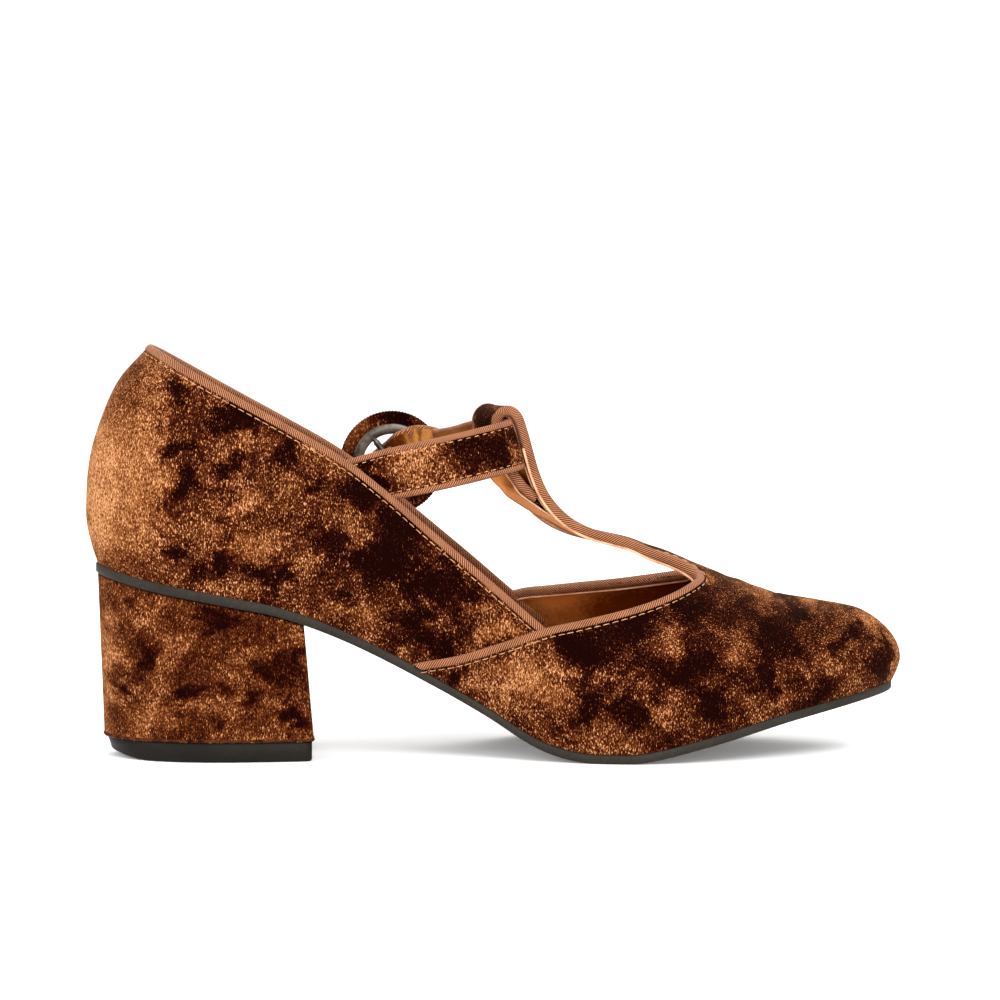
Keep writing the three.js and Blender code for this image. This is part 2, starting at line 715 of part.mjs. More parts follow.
// Which way the strap's upper edge points on the inner side, in front and on the outer side of the ankle
const nearUp = new THREE.Vector3(-0.2, 0.12, 0.97);
const frontUp = new THREE.Vector3(-0.29, 0, 0.957);
const farUp = new THREE.Vector3(-0.29, -0.1, 0.95);
// In the buckle it turns to lie along the pin, between these two places towards the tip.
const farUpTo = -0.875;
const alongPinFrom = -0.53;

// The buckle squeezes the strap to this share of its width, and it narrows over this part of its length.
const pinched = 0.78;
const pinchFrom = 0.55;
const pinchTo = 0.65;

function makeStrap() {
  const inside = strapRoot.map(({ forward, up }) => {
    const [x, z] = [xAt(forward), up * backTop];
    const y = -(widthAt(inner, x, z, -wall) - 4 * gap - strapThick * half);
    return { at: new THREE.Vector3(x, y, z), across: nearUp };
  });
  const round = strapPath.map(({ forward, aside, up }) => {
    const across = nearUp.clone().lerp(frontUp, clamp((aside + 0.5) * 3, 0, 1));
    across.lerp(farUp, clamp(aside * 2, 0, 1));
    return { at: new THREE.Vector3(xAt(forward), aside * halfBall, up * backTop), across };
  });
  const fastened = throughBuckle.map(({ tipward, pinward, outward }) => {
    const across = farUp.clone().lerp(alongPin, clamp((tipward - farUpTo) / (alongPinFrom - farUpTo), 0, 1));
    return { at: fromBuckle(tipward * ringRadius, pinward * ringRadius, outward * ringRadius), across };
  });
  const rows = [...inside, ...round, ...fastened];
  const squeeze = (t) => clamp((t - pinchFrom) / (pinchTo - pinchFrom), 0, 1);
  const wideAt = (t) => strapWidth * lerp(1, pinched, squeeze(t));
  const eyelet = new THREE.BoxGeometry(eyeletLength, eyeletWidth, ringDiameter);
  eyelet.translate(eyeletMiddle, 0, 0);
  return band(rows, 3, wideAt, strapThick).subtract(onBuckle(eyelet));
}

function piece(name, body, colour, roughness, metalness) {
  const mesh = body.getMesh();
  const geometry = new THREE.BufferGeometry();
  geometry.setAttribute("position", new THREE.BufferAttribute(new Float32Array(mesh.vertProperties), 3));
  geometry.setIndex(new THREE.BufferAttribute(new Uint32Array(mesh.triVerts), 1));
  geometry.computeVertexNormals();
  const material = new THREE.MeshStandardMaterial({ color: colour, roughness, metalness });
  const made = new THREE.Mesh(geometry, material);
  made.name = name;
  return made;
}

const cloth = 0x6b3a1c;
const darkCloth = 0x4a2413;
const lining = 0xa8692e;
const soleBrown = 0x2b2521;
const black = 0x171717;
const gunmetal = 0x55524e;
const matt = 0.75;
const satin = 0.45;

const sock = soleLayer(-wall - gap, soleEdge + gap, soleEdge + gap + insoleThick);
const shoe = new THREE.Group();
shoe.add(piece("upper", makeUpper(), cloth, matt, 0));
shoe.add(piece("outsole", soleLayer(soleMargin, 0, soleEdge), soleBrown, matt, 0));
shoe.add(piece("insole", sock, lining, satin, 0));
shoe.add(piece("heel_block", makeHeel(), cloth, matt, 0));
shoe.add(piece("top_lift", makeLift(), black, satin, 0));
shoe.add(piece("ankle_strap", makeStrap(), cloth, matt, 0));
shoe.add(piece("buckle_tab", makeTab(), cloth, matt, 0));
shoe.add(piece("buckle_ring", makeRing(), darkCloth, matt, 0));
shoe.add(piece("buckle_frame", makeFrame(), gunmetal, satin, 1));
shoe.add(piece("buckle_prong", makeProng(), gunmetal, satin, 1));
export default shoe;
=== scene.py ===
# The left shoe of a pair of T-strap pumps in crushed velvet, with ribbed binding, a covered block heel
# and a buckled ankle strap. Each section makes one piece, in the order in which the shoe is put together.
# Sizes are in millimetres.
import math
import bmesh
import bpy
import numpy as np
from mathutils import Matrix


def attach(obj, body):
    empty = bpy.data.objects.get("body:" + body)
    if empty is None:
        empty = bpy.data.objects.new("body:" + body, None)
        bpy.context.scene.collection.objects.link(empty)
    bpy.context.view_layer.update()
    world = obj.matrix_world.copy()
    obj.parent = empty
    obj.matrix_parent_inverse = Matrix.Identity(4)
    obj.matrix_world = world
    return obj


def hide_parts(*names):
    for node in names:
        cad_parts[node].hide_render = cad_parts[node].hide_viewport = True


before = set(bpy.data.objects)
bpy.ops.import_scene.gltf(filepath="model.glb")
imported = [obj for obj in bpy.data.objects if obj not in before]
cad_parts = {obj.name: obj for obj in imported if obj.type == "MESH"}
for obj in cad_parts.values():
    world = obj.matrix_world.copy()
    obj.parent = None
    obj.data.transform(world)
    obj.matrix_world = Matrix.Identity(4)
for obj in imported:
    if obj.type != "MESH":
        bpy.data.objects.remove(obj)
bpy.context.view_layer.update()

# The quarter: two halves of velvet, lasted round the heel and joined at the back. Its surface is that of
# the last, which every other piece is fitted to, so the last's own lines come first.
sole_length = 240.5
half_ball = 39.0
seat_height = 55.0
toe_spring = 17.5
instep_depth = 64.0
sole_edge = 3.0
back_top = 123.0
heel_back = -33.0
heel_spine = 0.15
quarter_front = 0.575
toe_spine = 0.854
wall = 1.6
overlay = 0.8

def smooth_line(places, values):
    places, values = np.array(places, float), np.array(values, float)
    def at(share):
        share = np.clip(share, places[0], places[-1])
        i = np.clip(np.searchsorted(places, share, side="right"), 1, len(places) - 1)
        before, after = places[i - 1], places[i]
        left, right = i == 1, i == len(places) - 1
        far_before = np.where(left, after, places[np.maximum(i - 2, 0)])
        far_after = np.where(right, before, places[np.minimum(i + 1, len(places) - 1)])
        value_before = np.where(left, values[i], values[np.maximum(i - 2, 0)])
        value_after = np.where(right, values[i - 1], values[np.minimum(i + 1, len(places) - 1)])
        half = (after - before) / 2
        lead, trail = half / (before - far_before), half / (far_after - after)
        p = (share - before) / (after - before)
        return (value_before * (-lead * p**3 + 2 * lead * p**2 - lead * p)
                + values[i - 1] * ((1 + lead) * p**3 + (-1.5 - 2 * lead) * p**2 + (lead - 0.5) * p + 1)
                + values[i] * ((-1 - trail) * p**3 + (1.5 + trail) * p**2 + 0.5 * p)
                + value_after * (trail * p**3 - trail * p**2))
    return at

sole_places = [0, 0.056, 0.161, 0.222, 0.297, 0.414, 0.478, 0.537, 0.57, 0.605, 0.655, 0.743, 0.854, 1]
seat_share = smooth_line(sole_places, [1, 0.936, 0.845, 0.787, 0.664, 0.397, 0.238, 0.078, 0.024, 0, 0, 0,
                                       0, 0])
spring_share = smooth_line(sole_places, [0, 0, 0, 0, 0, 0, 0, 0, 0, 0, 0, 0.25, 0.63, 1])
plan_places = [0, 0.042, 0.104, 0.19, 0.29, 0.4, 0.48, 0.56, 0.625, 0.7, 0.79, 0.854, 0.917, 1]
inner_full = smooth_line(plan_places, [1.22, 1.16, 1.04, 0.85, 0.675, 0.53, 0.615, 0.81, 0.967, 1.075, 1.09,
                                       1.05, 0.985, 0.8])
outer_full = smooth_line(plan_places, [1.22, 1.16, 1.05, 0.89, 0.765, 0.69, 0.79, 0.925, 1.033, 1.09, 1.056,
                                       0.985, 0.92, 0.8])
rib_places = [0.15, 0.225, 0.308, 0.37, 0.432, 0.495, 0.557, 0.604, 0.65, 0.7, 0.752, 0.8, 0.854]
depth_share = smooth_line(rib_places, [1.53, 1.36, 1.24, 1.17, 1.1, 1.086, 1.07, 1.004, 0.945, 0.87, 0.744,
                                       0.627, 0.502])
inner_swell = smooth_line(rib_places, [0.1, 0.12, 0.17, 0.2, 0.2, 0.14, 0.07, 0.05, 0.05, 0.05, 0.05, 0.06,
                                       0.07])
outer_swell = smooth_line(rib_places, [0.08, 0.07, 0.06, 0.06, 0.07, 0.08, 0.06, 0.05, 0.05, 0.05, 0.05,
                                       0.06, 0.07])
squareness = smooth_line(rib_places, [3, 3, 3, 3, 2.9, 2.6, 2.3, 2.15, 2.1, 2.1, 2.1, 2.2, 2.3])
heel_reach = smooth_line([0, 0.047, 0.127, 0.2, 0.353, 0.487, 0.616, 0.722, 1],
                         [1, 1.039, 1.086, 1.092, 1.058, 0.956, 0.8, 0.56, 0])
toe_reach = smooth_line([0, 0.1, 0.25, 0.44, 0.617, 0.782, 0.842, 0.917, 0.977, 1],
                        [1, 1.035, 1.065, 1.03, 0.93, 0.765, 0.655, 0.375, 0.115, 0])
top_places = [-0.1, 0.067, 0.105, 0.161, 0.237, 0.309, 0.364, 0.408, 0.478, 0.55, 0.58]
inner_topline = smooth_line(top_places, [1.13, 1, 0.957, 0.894, 0.81, 0.724, 0.638, 0.562, 0.444, 0.32,
                                         0.27])
outer_topline = smooth_line(top_places, [1.13, 1, 0.957, 0.894, 0.812, 0.73, 0.648, 0.575, 0.459, 0.336,
                                         0.286])

def topline_of(side, share):
    return np.where(side < 0, inner_topline(share), outer_topline(share))

def x_at(share):
    return heel_back + sole_length * share

def share_at(x):
    return (x - heel_back) / sole_length

def underside(share):
    return np.maximum(seat_share(share) * seat_height + spring_share(share) * toe_spring, 0)

def half_breadth(side, share):
    ends = 2 * np.sqrt(np.maximum(share * (1 - share), 0))
    return ends * np.where(side < 0, inner_full(share), outer_full(share)) * half_ball

def last_point(side, share, rise, grow=0.0):
    side, share, rise = np.broadcast_arrays(np.asarray(side, float), np.asarray(share, float),
                                            np.asarray(rise, float))
    spine = np.clip(share, heel_spine, toe_spine)
    foot_x = x_at(share) - x_at(spine)
    foot_y = side * half_breadth(side, share)
    breadth = np.maximum(np.hypot(foot_x, foot_y), 1e-6)
    endwise = (foot_x / breadth) ** 2
    swell = np.where(side < 0, inner_swell(spine), outer_swell(spine))
    flank = np.sqrt(np.maximum(1 - np.clip(rise, 0, 1) ** squareness(spine), 0))
    flank = flank + swell * 4 * rise * (1 - rise)
    tip = np.where(share < heel_spine, heel_reach(rise), toe_reach(rise))
    reach = (flank + (tip - flank) * endwise) * (breadth + grow) / breadth
    floor = underside(share) + sole_edge
    crown = underside(spine) + sole_edge + depth_share(spine) * instep_depth + grow
    return np.stack([x_at(spine) + foot_x * reach, foot_y * reach, floor + (crown - floor) * rise], -1)

def surface_normal(side, share, rise, grow=0.0):
    nudge = 1e-3
    along = last_point(side, share + nudge, rise, grow) - last_point(side, share - nudge, rise, grow)
    above, below = np.minimum(rise + nudge, 1), np.maximum(rise - nudge, 0)
    up = last_point(side, share, above, grow) - last_point(side, share, below, grow)
    normal = np.cross(along, up) * -np.asarray(side, float)[..., None]
    return normal / np.maximum(np.linalg.norm(normal, axis=-1, keepdims=True), 1e-9)

def topline_rise(side, share):
    low, high = np.zeros_like(share), np.ones_like(share)
    for _ in range(30):
        middle = (low + high) / 2
        point = last_point(side, share, middle)
        under = point[..., 2] < topline_of(side, share_at(point[..., 0])) * back_top
        low, high = np.where(under, middle, low), np.where(under, high, middle)
    return low

# Where the pile is crushed flat and dark, or brushed up and light, on the inner side and the heel's
# cover: the place along the shoe and its height, half its length and height, and its strength. The light
# marks along the vamp's top and toe edge are painted highlights where the pile catches the light, and
# those at the heel's back edge are partly brushed pile and partly painted highlight. The outer side has
# its own, scattered.
inner_crush_and_highlights = [
    (-10, 110, 2.6, 4.7, 0.5), (6, 103, 7, 4.4, 0.6), (13, 100, 3.5, 2.3, 0.4), (-9, 94, 5, 2.3, 0.5),
    (-7, 83, 2.9, 4.1, 0.5), (6, 88, 3.5, 3.8, 0.55), (23, 91, 3.8, 3.8, 0.4), (26, 86, 2.9, 2.6, 0.3),
    (31, 83, 3.5, 2, 0.4), (44, 80, 8.2, 3.8, 0.45), (57, 67, 7.9, 7.6, 0.5), (49, 59, 6.4, 6.4, 0.45),
    (35, 65, 5, 4.1, 0.4), (-10, 63, 4.4, 2, 0.5), (3, 60, 3.8, 3.2, 0.5), (14, 57, 3.5, 2.6, 0.4),
    (22, 55, 5.8, 3.2, 0.5), (-3, 56, 2.9, 3.2, 0.45), (62, 42, 4.1, 4.4, 0.45), (41, 48, 4.1, 2, 0.35),
    (61, 54, 5.3, 5.3, 0.4), (69, 52, 5.8, 7, 0.45), (79, 49, 3.5, 2.9, 0.35), (67, 35, 7.3, 3.2, 0.45),
    (74, 25, 2.9, 1.8, 0.4), (111, 35, 9.4, 5.6, 0.5), (124, 42, 8.8, 4.4, 0.45), (141, 46, 5.3, 5.3, 0.4),
    (147, 52, 4.7, 2.6, 0.35), (125, 15, 7, 4.4, 0.5), (111, 17, 3.5, 4.7, 0.4), (142, 28, 6.4, 5.3, 0.45),
    (147, 18, 5.3, 4.7, 0.4), (168, 36, 7, 5.6, 0.5), (176, 43, 3.2, 3.2, 0.35), (194, 36, 7, 2.6, 0.4),
    (203, 28, 4.1, 7, 0.4), (183, 20, 4.4, 2.9, 0.4), (165, 24, 3.2, 5.6, 0.35), (188, 34, 2.6, 2.6, 0.3),
    # Light marks have a negative strength. Those at the heel's back edge, near x -33 to -22, are partly
    # brushed pile and partly painted highlight; those along the vamp's top and toe edge, x 150 to 208, are
    # painted highlights.
    (-33, 80, 5.8, 23.4, -0.4), (-22, 87, 8.2, 16.1, -0.12), (10, 77, 5, 3.2, -0.25),
    (12, 64, 9.9, 3.8, -0.25), (-1, 68, 4.1, 2.9, -0.15), (44, 46, 12.3, 3.8, -0.22),
    (17, 96, 4.7, 4.1, -0.12), (81, 58, 2.9, 2.9, -0.2), (86, 39, 7, 3.2, -0.3), (93, 25, 8.8, 6.4, -0.35),
    (103, 20, 5.3, 4.7, -0.25), (109, 29, 2.6, 2.6, -0.2), (132, 14, 3.5, 2.9, -0.3),
    (137, 36, 3.2, 7, -0.25), (158, 31, 5.6, 4.4, -0.25), (168, 49, 9, 3, -0.35),
    (150, 54, 3.5, 1.5, -0.25), (47, 87, 3, 3, 0.3), (68, 84, 5, 2.5, 0.2), (186, 46, 9, 3, -0.35),
    (202, 40, 4, 6, -0.3), (184, 27, 5.6, 3.8, -0.2), (168, 19, 5, 2.9, -0.2), (208, 32, 1.8, 5.8, -0.3),
    (120, 25, 7, 0.9, -0.2), (-19, 30, 3.5, 5, 0.5), (-25, 20, 2.3, 2, 0.45), (-22, 48, 1.5, 2.3, 0.35),
    (2, 43, 5.6, 2.9, 0.4), (-7, 22, 3.8, 2, 0.4), (5, 23, 2.3, 2.3, 0.35), (14, 30, 4.4, 2.3, 0.35),
    (21, 27, 5, 5, 0.4), (24, 13, 5, 2.9, 0.45), (4, 13, 2.3, 2.3, 0.35), (27, 32, 1.8, 3.5, 0.4),
    (10, 18, 3.2, 2, 0.35), (-31, 28, 2.6, 20.5, -0.3), (-15, 13, 7.3, 2.9, -0.15),
    (-9, 36, 5.8, 3.5, -0.12), (62, 55, 24, 22, 0.12), (150, 33, 60, 26, 0.15), (-24, 84, 13, 32, -0.22),
    (60, 87, 7, 5, -0.1), (78, 92, 9, 6, 0.3), (47, 80, 4.5, 4, 0.45), (88, 92, 5, 7, 0.3),
    (84, 102, 7, 5, 0.35),
]
scatter = np.random.default_rng(11)
outer_crush = [(scatter.uniform(-30, 208), scatter.uniform(8, 108), scatter.uniform(3, 9),
                scatter.uniform(2.5, 7), scatter.choice((0.5, 0.42, 0.35, -0.25, -0.3)))
               for _ in range(110)]

# Adds up, for each point, the pile's crushed and brushed marks and the painted highlights among them, from
# the inner list on the inner side and the scattered list on the outer.
def crush_and_highlights_at(points):
    x, y, z = points[..., 0], points[..., 1], points[..., 2]
    x = (x + 1.5 * np.sin(0.52 * z + 1.7 * np.sin(0.19 * x))
         + 0.9 * np.sin(0.9 * x + 1.1 * z + 2 * np.sin(0.3 * z)))
    z = z + 1.3 * np.sin(0.47 * x + 1.4 * np.sin(0.23 * z)) + 0.8 * np.sin(1.2 * x - 0.8 * z)
    total = np.zeros(x.shape)
    outward = np.clip((y - 2) / 8, 0, 1)
    for marks, weight in ((inner_crush_and_highlights, 1 - outward), (outer_crush, outward)):
        for px, pz, rx, rz, strength in marks:
            total += weight * strength * np.exp(-(((x - px) / rx) ** 2 + ((z - pz) / rz) ** 2) ** 2.0)
    return np.clip(total, -0.45, 0.6)

def add_mesh(name, points, faces, uv=None):
    mesh = bpy.data.meshes.new(name)
    mesh.from_pydata((np.asarray(points) * 0.001).tolist(), [], [list(map(int, f)) for f in faces])
    mesh.polygons.foreach_set("use_smooth", [True] * len(mesh.polygons))
    # Each point carries its crushed-pile mark together with any painted highlight; on the lining pieces this
    # is replaced by painted highlights and painted shade alone.
    crush_and_painted_light = mesh.attributes.new("crush_and_painted_light", "FLOAT", "POINT")
    crush_and_painted_light.data.foreach_set("value", crush_and_highlights_at(np.asarray(points)).astype(np.float32))
    if uv is not None:
        layer = mesh.uv_layers.new(name="metres")
        loops = np.empty(len(mesh.loops), np.int32)
        mesh.loops.foreach_get("vertex_index", loops)
        layer.data.foreach_set("uv", (np.asarray(uv)[loops] * 0.001).astype(np.float32).ravel())
    mesh.update()
    piece = bpy.data.objects.new(name, mesh)
    bpy.context.scene.collection.objects.link(piece)
    return piece

def add_grid(name, points, keep=None, flip=False):
    index = np.arange(points.shape[0] * points.shape[1]).reshape(points.shape[:2])
    faces = np.stack([index[:-1, :-1], index[:-1, 1:], index[1:, 1:], index[1:, :-1]], -1)
    faces = faces.reshape(-1, 4) if keep is None else faces[keep]
    return add_mesh(name, points.reshape(-1, 3), faces[:, ::-1] if flip else faces)

def weld(piece, distance=0.00001):
    shape = bmesh.new()
    shape.from_mesh(piece.data)
    bmesh.ops.remove_doubles(shape, verts=shape.verts, dist=distance)
    shape.to_mesh(piece.data)
    shape.free()

def finish(piece, material, slot, *nodes):
    piece.data.materials.append(material)
    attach(piece, "root")
    if nodes:
        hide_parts(*nodes)

heel_turn = np.linspace(0, math.pi / 2, 46)
quarter_share = np.concatenate([heel_spine * (1 - np.cos(heel_turn)),
                                np.linspace(heel_spine, quarter_front, 92)[1:]])
quarter_side = np.concatenate([-np.ones(len(quarter_share)), np.ones(len(quarter_share) - 1)])
quarter_share = np.concatenate([quarter_share[::-1], quarter_share[1:]])
quarter_top = topline_rise(quarter_side, quarter_share)
up_rows = np.linspace(0, 1, 60)[:, None]

# Soft creases from lasting and wear: place along the shoe, height, half width, half
# length, slant, and depth, where a negative depth is a ridge.
creases = [
    (155, 44, 2.4, 13, 0.3, 0.35), (163, 43, 2.0, 11, 0.35, 0.25), (159, 44, 1.8, 11, 0.3, -0.2),
    (64, 46, 3.5, 12, -0.5, 0.35), (54, 50, 3.0, 11, -0.5, -0.2), (46, 56, 3.0, 10, -0.45, 0.25),
    (-4, 66, 3.0, 7, 0.9, 0.2), (8, 63, 3.0, 7, 0.8, -0.15), (20, 60, 3.0, 8, 0.7, 0.2),
    (112, 18, 3.0, 8, -0.3, 0.2), (158, 22, 3.0, 8, 0.2, 0.2), (188, 26, 3.5, 7, 0.3, 0.15),
]

def unit(vectors):
    return vectors / np.maximum(np.linalg.norm(vectors, axis=-1, keepdims=True), 1e-9)

def crease(points, outward):
    """Sinks or lifts a lasted surface along its soft creases."""
    across, up = np.gradient(points, axis=1), np.gradient(points, axis=0)
    normal = unit(np.cross(across, up)) * outward
    sunk = np.zeros(points.shape[:2])
    for x, z, half_wide, half_long, slant, depth in creases:
        along = (points[..., 2] - z) * math.cos(slant) + (points[..., 0] - x) * math.sin(slant)
        aside = (points[..., 0] - x) * math.cos(slant) - (points[..., 2] - z) * math.sin(slant)
        sunk += depth * np.exp(-((aside / half_wide) ** 2) - (along / half_long) ** 2)
    return points - normal * sunk[..., None]

quarter_points = last_point(quarter_side, quarter_share, quarter_top * up_rows)
away_from_edges = np.sin(np.linspace(0, math.pi, len(quarter_points)))[:, None, None] ** 0.5
quarter_creased = quarter_points + (crease(quarter_points, -1) - quarter_points) * away_from_edges

# Crushed velvet: the lay of the pile changes in patches, so the cloth goes from nearly black to bright
# copper, and short fibres speckle every patch.
def shade(tree, shader, value, stops, socket="Base Color"):
    """Colours one socket of a shader from a value, by a ramp of places and colours."""
    ramp = tree.nodes.new("ShaderNodeValToRGB")
    first, last = ramp.color_ramp.elements
    first.position, last.position = stops[0][0], stops[-1][0]
    first.color = (*stops[0][1], 1)
    last.color = (*stops[-1][1], 1)
    for place, colour in stops[1:-1]:
        ramp.color_ramp.elements.new(place).color = (*colour, 1)
    tree.links.new(value, ramp.inputs["Fac"])
    tree.links.new(ramp.outputs["Color"], shader.inputs[socket])

def object_place(tree):
    return tree.nodes.new("ShaderNodeTexCoord").outputs["Object"]

def new_group(name, inputs, outputs):
    group = bpy.data.node_groups.new(name, "ShaderNodeTree")
    for socket, kind, value in inputs:
        made = group.interface.new_socket(socket, in_out="INPUT", socket_type=kind)
        if value is not None:
            made.default_value = value
    for socket, kind in outputs:
        group.interface.new_socket(socket, in_out="OUTPUT", socket_type=kind)
    return group, group.nodes.new("NodeGroupInput"), group.nodes.new("NodeGroupOutput")

def sums(group, operation, first, second, third=None):
    node = group.nodes.new("ShaderNodeMath")
    node.operation = operation
    for socket, value in zip(node.inputs, (first, second, third)):
        if value is None:
            continue
        if isinstance(value, (int, float)):
            socket.default_value = value
        else:
            group.links.new(value, socket)
    return node.outputs[0]

def noise(group, place, scale, detail, roughness=0.5, distortion=0.0):
    node = group.nodes.new("ShaderNodeTexNoise")
    group.links.new(place, node.inputs["Vector"])
    for socket, value in (("Scale", scale), ("Detail", detail), ("Roughness", roughness),
                          ("Distortion", distortion)):
        if isinstance(value, (int, float)):
            node.inputs[socket].default_value = value
        else:
            group.links.new(value, node.inputs[socket])
    return node.outputs["Fac"]

# The crush input also brings the painted highlights, along with the pile's crushed and brushed marks.
nap, nap_in, nap_out = new_group("crushed_nap", [
    ("Place", "NodeSocketVector", None), ("Crush And Highlight", "NodeSocketFloat", 0.0), ("Level", "NodeSocketFloat", 0.5),
    ("Patch Scale", "NodeSocketFloat", 70.0), ("Patch Depth", "NodeSocketFloat", 1.0),
    ("Fibre Scale", "NodeSocketFloat", 2500.0), ("Fibre Depth", "NodeSocketFloat", 2.6),
    ("Glint Depth", "NodeSocketFloat", 4.0)],
    [("Lay", "NodeSocketFloat"), ("Relief", "NodeSocketFloat")])
patches = noise(nap, nap_in.outputs["Place"], nap_in.outputs["Patch Scale"], 6.0, 0.66, 0.9)
combed = nap.nodes.new("ShaderNodeVectorMath")
combed.operation = "MULTIPLY"
combed.inputs[1].default_value = (1.25, 1.25, 0.5)
nap.links.new(nap_in.outputs["Place"], combed.inputs[0])
fibres = noise(nap, combed.outputs[0], nap_in.outputs["Fibre Scale"], 2.0, 0.6)
tufts = noise(nap, nap_in.outputs["Place"], 520.0, 5.0, 0.75)
pressed = sums(nap, "ADD", sums(nap, "MULTIPLY", nap_in.outputs["Crush And Highlight"], 2.2), 1.0)
mottling = sums(nap, "MINIMUM", sums(nap, "MAXIMUM", pressed, 0.25), 1.0)
patch_depth = sums(nap, "MULTIPLY", nap_in.outputs["Patch Depth"], mottling)
patch_part = sums(nap, "MULTIPLY", sums(nap, "SUBTRACT", patches, 0.5), patch_depth)
tuft_part = sums(nap, "MULTIPLY", sums(nap, "SUBTRACT", tufts, 0.5), sums(nap, "MULTIPLY", mottling, 3.2))
broken = sums(nap, "MULTIPLY", nap_in.outputs["Crush And Highlight"], sums(nap, "ADD", tuft_part, 1.0))
tufted = sums(nap, "ADD", nap_in.outputs["Level"], sums(nap, "MULTIPLY", tuft_part, 0.16))
crushed = sums(nap, "SUBTRACT", sums(nap, "ADD", tufted, patch_part), broken)
upright = sums(nap, "MAXIMUM", sums(nap, "ADD", crushed, 0.3), 0.34)
fibre_depth = sums(nap, "MULTIPLY", nap_in.outputs["Fibre Depth"],
                   sums(nap, "MULTIPLY_ADD", mottling, 0.5, 0.5))
fibre_part = sums(nap, "MULTIPLY", sums(nap, "SUBTRACT", fibres, 0.5),
                  sums(nap, "MULTIPLY", fibre_depth, upright))
# Painted glints: bright specks where single fibres catch the light, added to the colour, and weaker on the
# light marks.
glint_depth = sums(nap, "MULTIPLY", nap_in.outputs["Glint Depth"], mottling)
glints = sums(nap, "MULTIPLY", sums(nap, "MAXIMUM", sums(nap, "SUBTRACT", fibres, 0.58), 0.0), glint_depth)
lay = sums(nap, "ADD", sums(nap, "ADD", crushed, fibre_part), glints)
nap.links.new(lay, nap_out.inputs["Lay"])
nap.links.new(sums(nap, "ADD", sums(nap, "MULTIPLY", patches, 1.0), sums(nap, "MULTIPLY", fibres, 0.25)),
              nap_out.inputs["Relief"])

velvet_shades = [
    (0.0, (0.0055, 0.0003, 0.0001)),
    (0.15, (0.014, 0.0012, 0.0004)),
    (0.32, (0.034, 0.0055, 0.0012)),
    (0.5, (0.084, 0.0185, 0.0038)),
    (0.68, (0.172, 0.052, 0.014)),
    (0.84, (0.32, 0.124, 0.042)),
    (1.0, (0.6, 0.29, 0.13)),
]

def new_material(name, roughness, sheen=0.0, sheen_tint=(1, 1, 1), metallic=0.0, gloss=0.5,
                 gloss_tint=(1, 1, 1)):
    material = bpy.data.materials.new(name)
    material.use_nodes = True
    shader = material.node_tree.nodes["Principled BSDF"]
    shader.inputs["Roughness"].default_value = roughness
    shader.inputs["Sheen Weight"].default_value = sheen
    shader.inputs["Sheen Roughness"].default_value = 0.35
    shader.inputs["Sheen Tint"].default_value = (*sheen_tint, 1)
    shader.inputs["Metallic"].default_value = metallic
    shader.inputs["Specular IOR Level"].default_value = gloss
    shader.inputs["Specular Tint"].default_value = (*gloss_tint, 1)
    return material, material.node_tree, shader

def place_group(tree, group, **values):
    node = tree.nodes.new("ShaderNodeGroup")
    node.node_tree = group
    for socket, value in values.items():
        node.inputs[socket.replace("_", " ")].default_value = value
    return node

def bump_into(tree, shader, height, strength, distance):
    bump = tree.nodes.new("ShaderNodeBump")
    bump.inputs["Strength"].default_value = strength
    bump.inputs["Distance"].default_value = distance
    tree.links.new(height, bump.inputs["Height"])
    tree.links.new(bump.outputs["Normal"], shader.inputs["Normal"])

def velvet_material(name, level, patch_depth=1.6, patch_scale=80.0, fibre_depth=2.6, glint_depth=4.0):
    material, tree, shader = new_material(name, 0.9, sheen=0.07, sheen_tint=(1.0, 0.45, 0.16), gloss=0.02)
    crush_and_painted_light = tree.nodes.new("ShaderNodeAttribute")
    crush_and_painted_light.attribute_name = "crush_and_painted_light"
    pile = place_group(tree, nap, Level=level, Patch_Scale=patch_scale, Patch_Depth=patch_depth,
                       Fibre_Depth=fibre_depth, Glint_Depth=glint_depth)
    tree.links.new(object_place(tree), pile.inputs["Place"])
    tree.links.new(crush_and_painted_light.outputs["Fac"], pile.inputs["Crush And Highlight"])
    shade(tree, shader, pile.outputs["Lay"], velvet_shades)
    bump_into(tree, shader, pile.outputs["Relief"], 0.6, 0.001)
    return material

upper_velvet = velvet_material("crushed velvet", 0.385)
finish(add_grid("quarter", quarter_creased, flip=True), upper_velvet, "velvet", "upper")

# The vamp: one more piece of velvet over the toes, lapped over the quarter on both sides. Its back edge
# rises from the sole to a round corner beside the T-bar, and its middle runs on as the foot of the T-bar.
vamp_places = [0.37, 0.408, 0.432, 0.469, 0.505, 0.548, 0.591, 0.63, 0.669, 0.703, 0.725, 0.749]
inner_vamp_edge = smooth_line(vamp_places, [0.222, 0.238, 0.246, 0.268, 0.293, 0.323, 0.341, 0.358, 0.377,
                                            0.398, 0.414, 0.434])
outer_vamp_edge = smooth_line([0.37, 0.408, 0.45, 0.495, 0.535, 0.58, 0.62, 0.669, 0.71, 0.749],
                              [0.222, 0.24, 0.275, 0.33, 0.368, 0.38, 0.389, 0.4, 0.413, 0.43])
vamp_back = 0.372
throat = 0.749
bar_root = 0.7
bar_width = 17.5
bar_top_width = 15.0
taper_from = 0.6
flare_from = 0.716
flare = 4.5

def vamp_edge(side, share):
    return np.where(side < 0, inner_vamp_edge(share), outer_vamp_edge(share)) * back_top

def bar_half(share):
    taper = np.clip((share - taper_from) / (flare_from - taper_from), 0, 1)
    turn = np.clip((share - flare_from) / (throat - flare_from), 0, 1)
    return (bar_top_width + (bar_width - bar_top_width) * taper) / 2 + flare * (1 - np.sqrt(1 - turn**2))

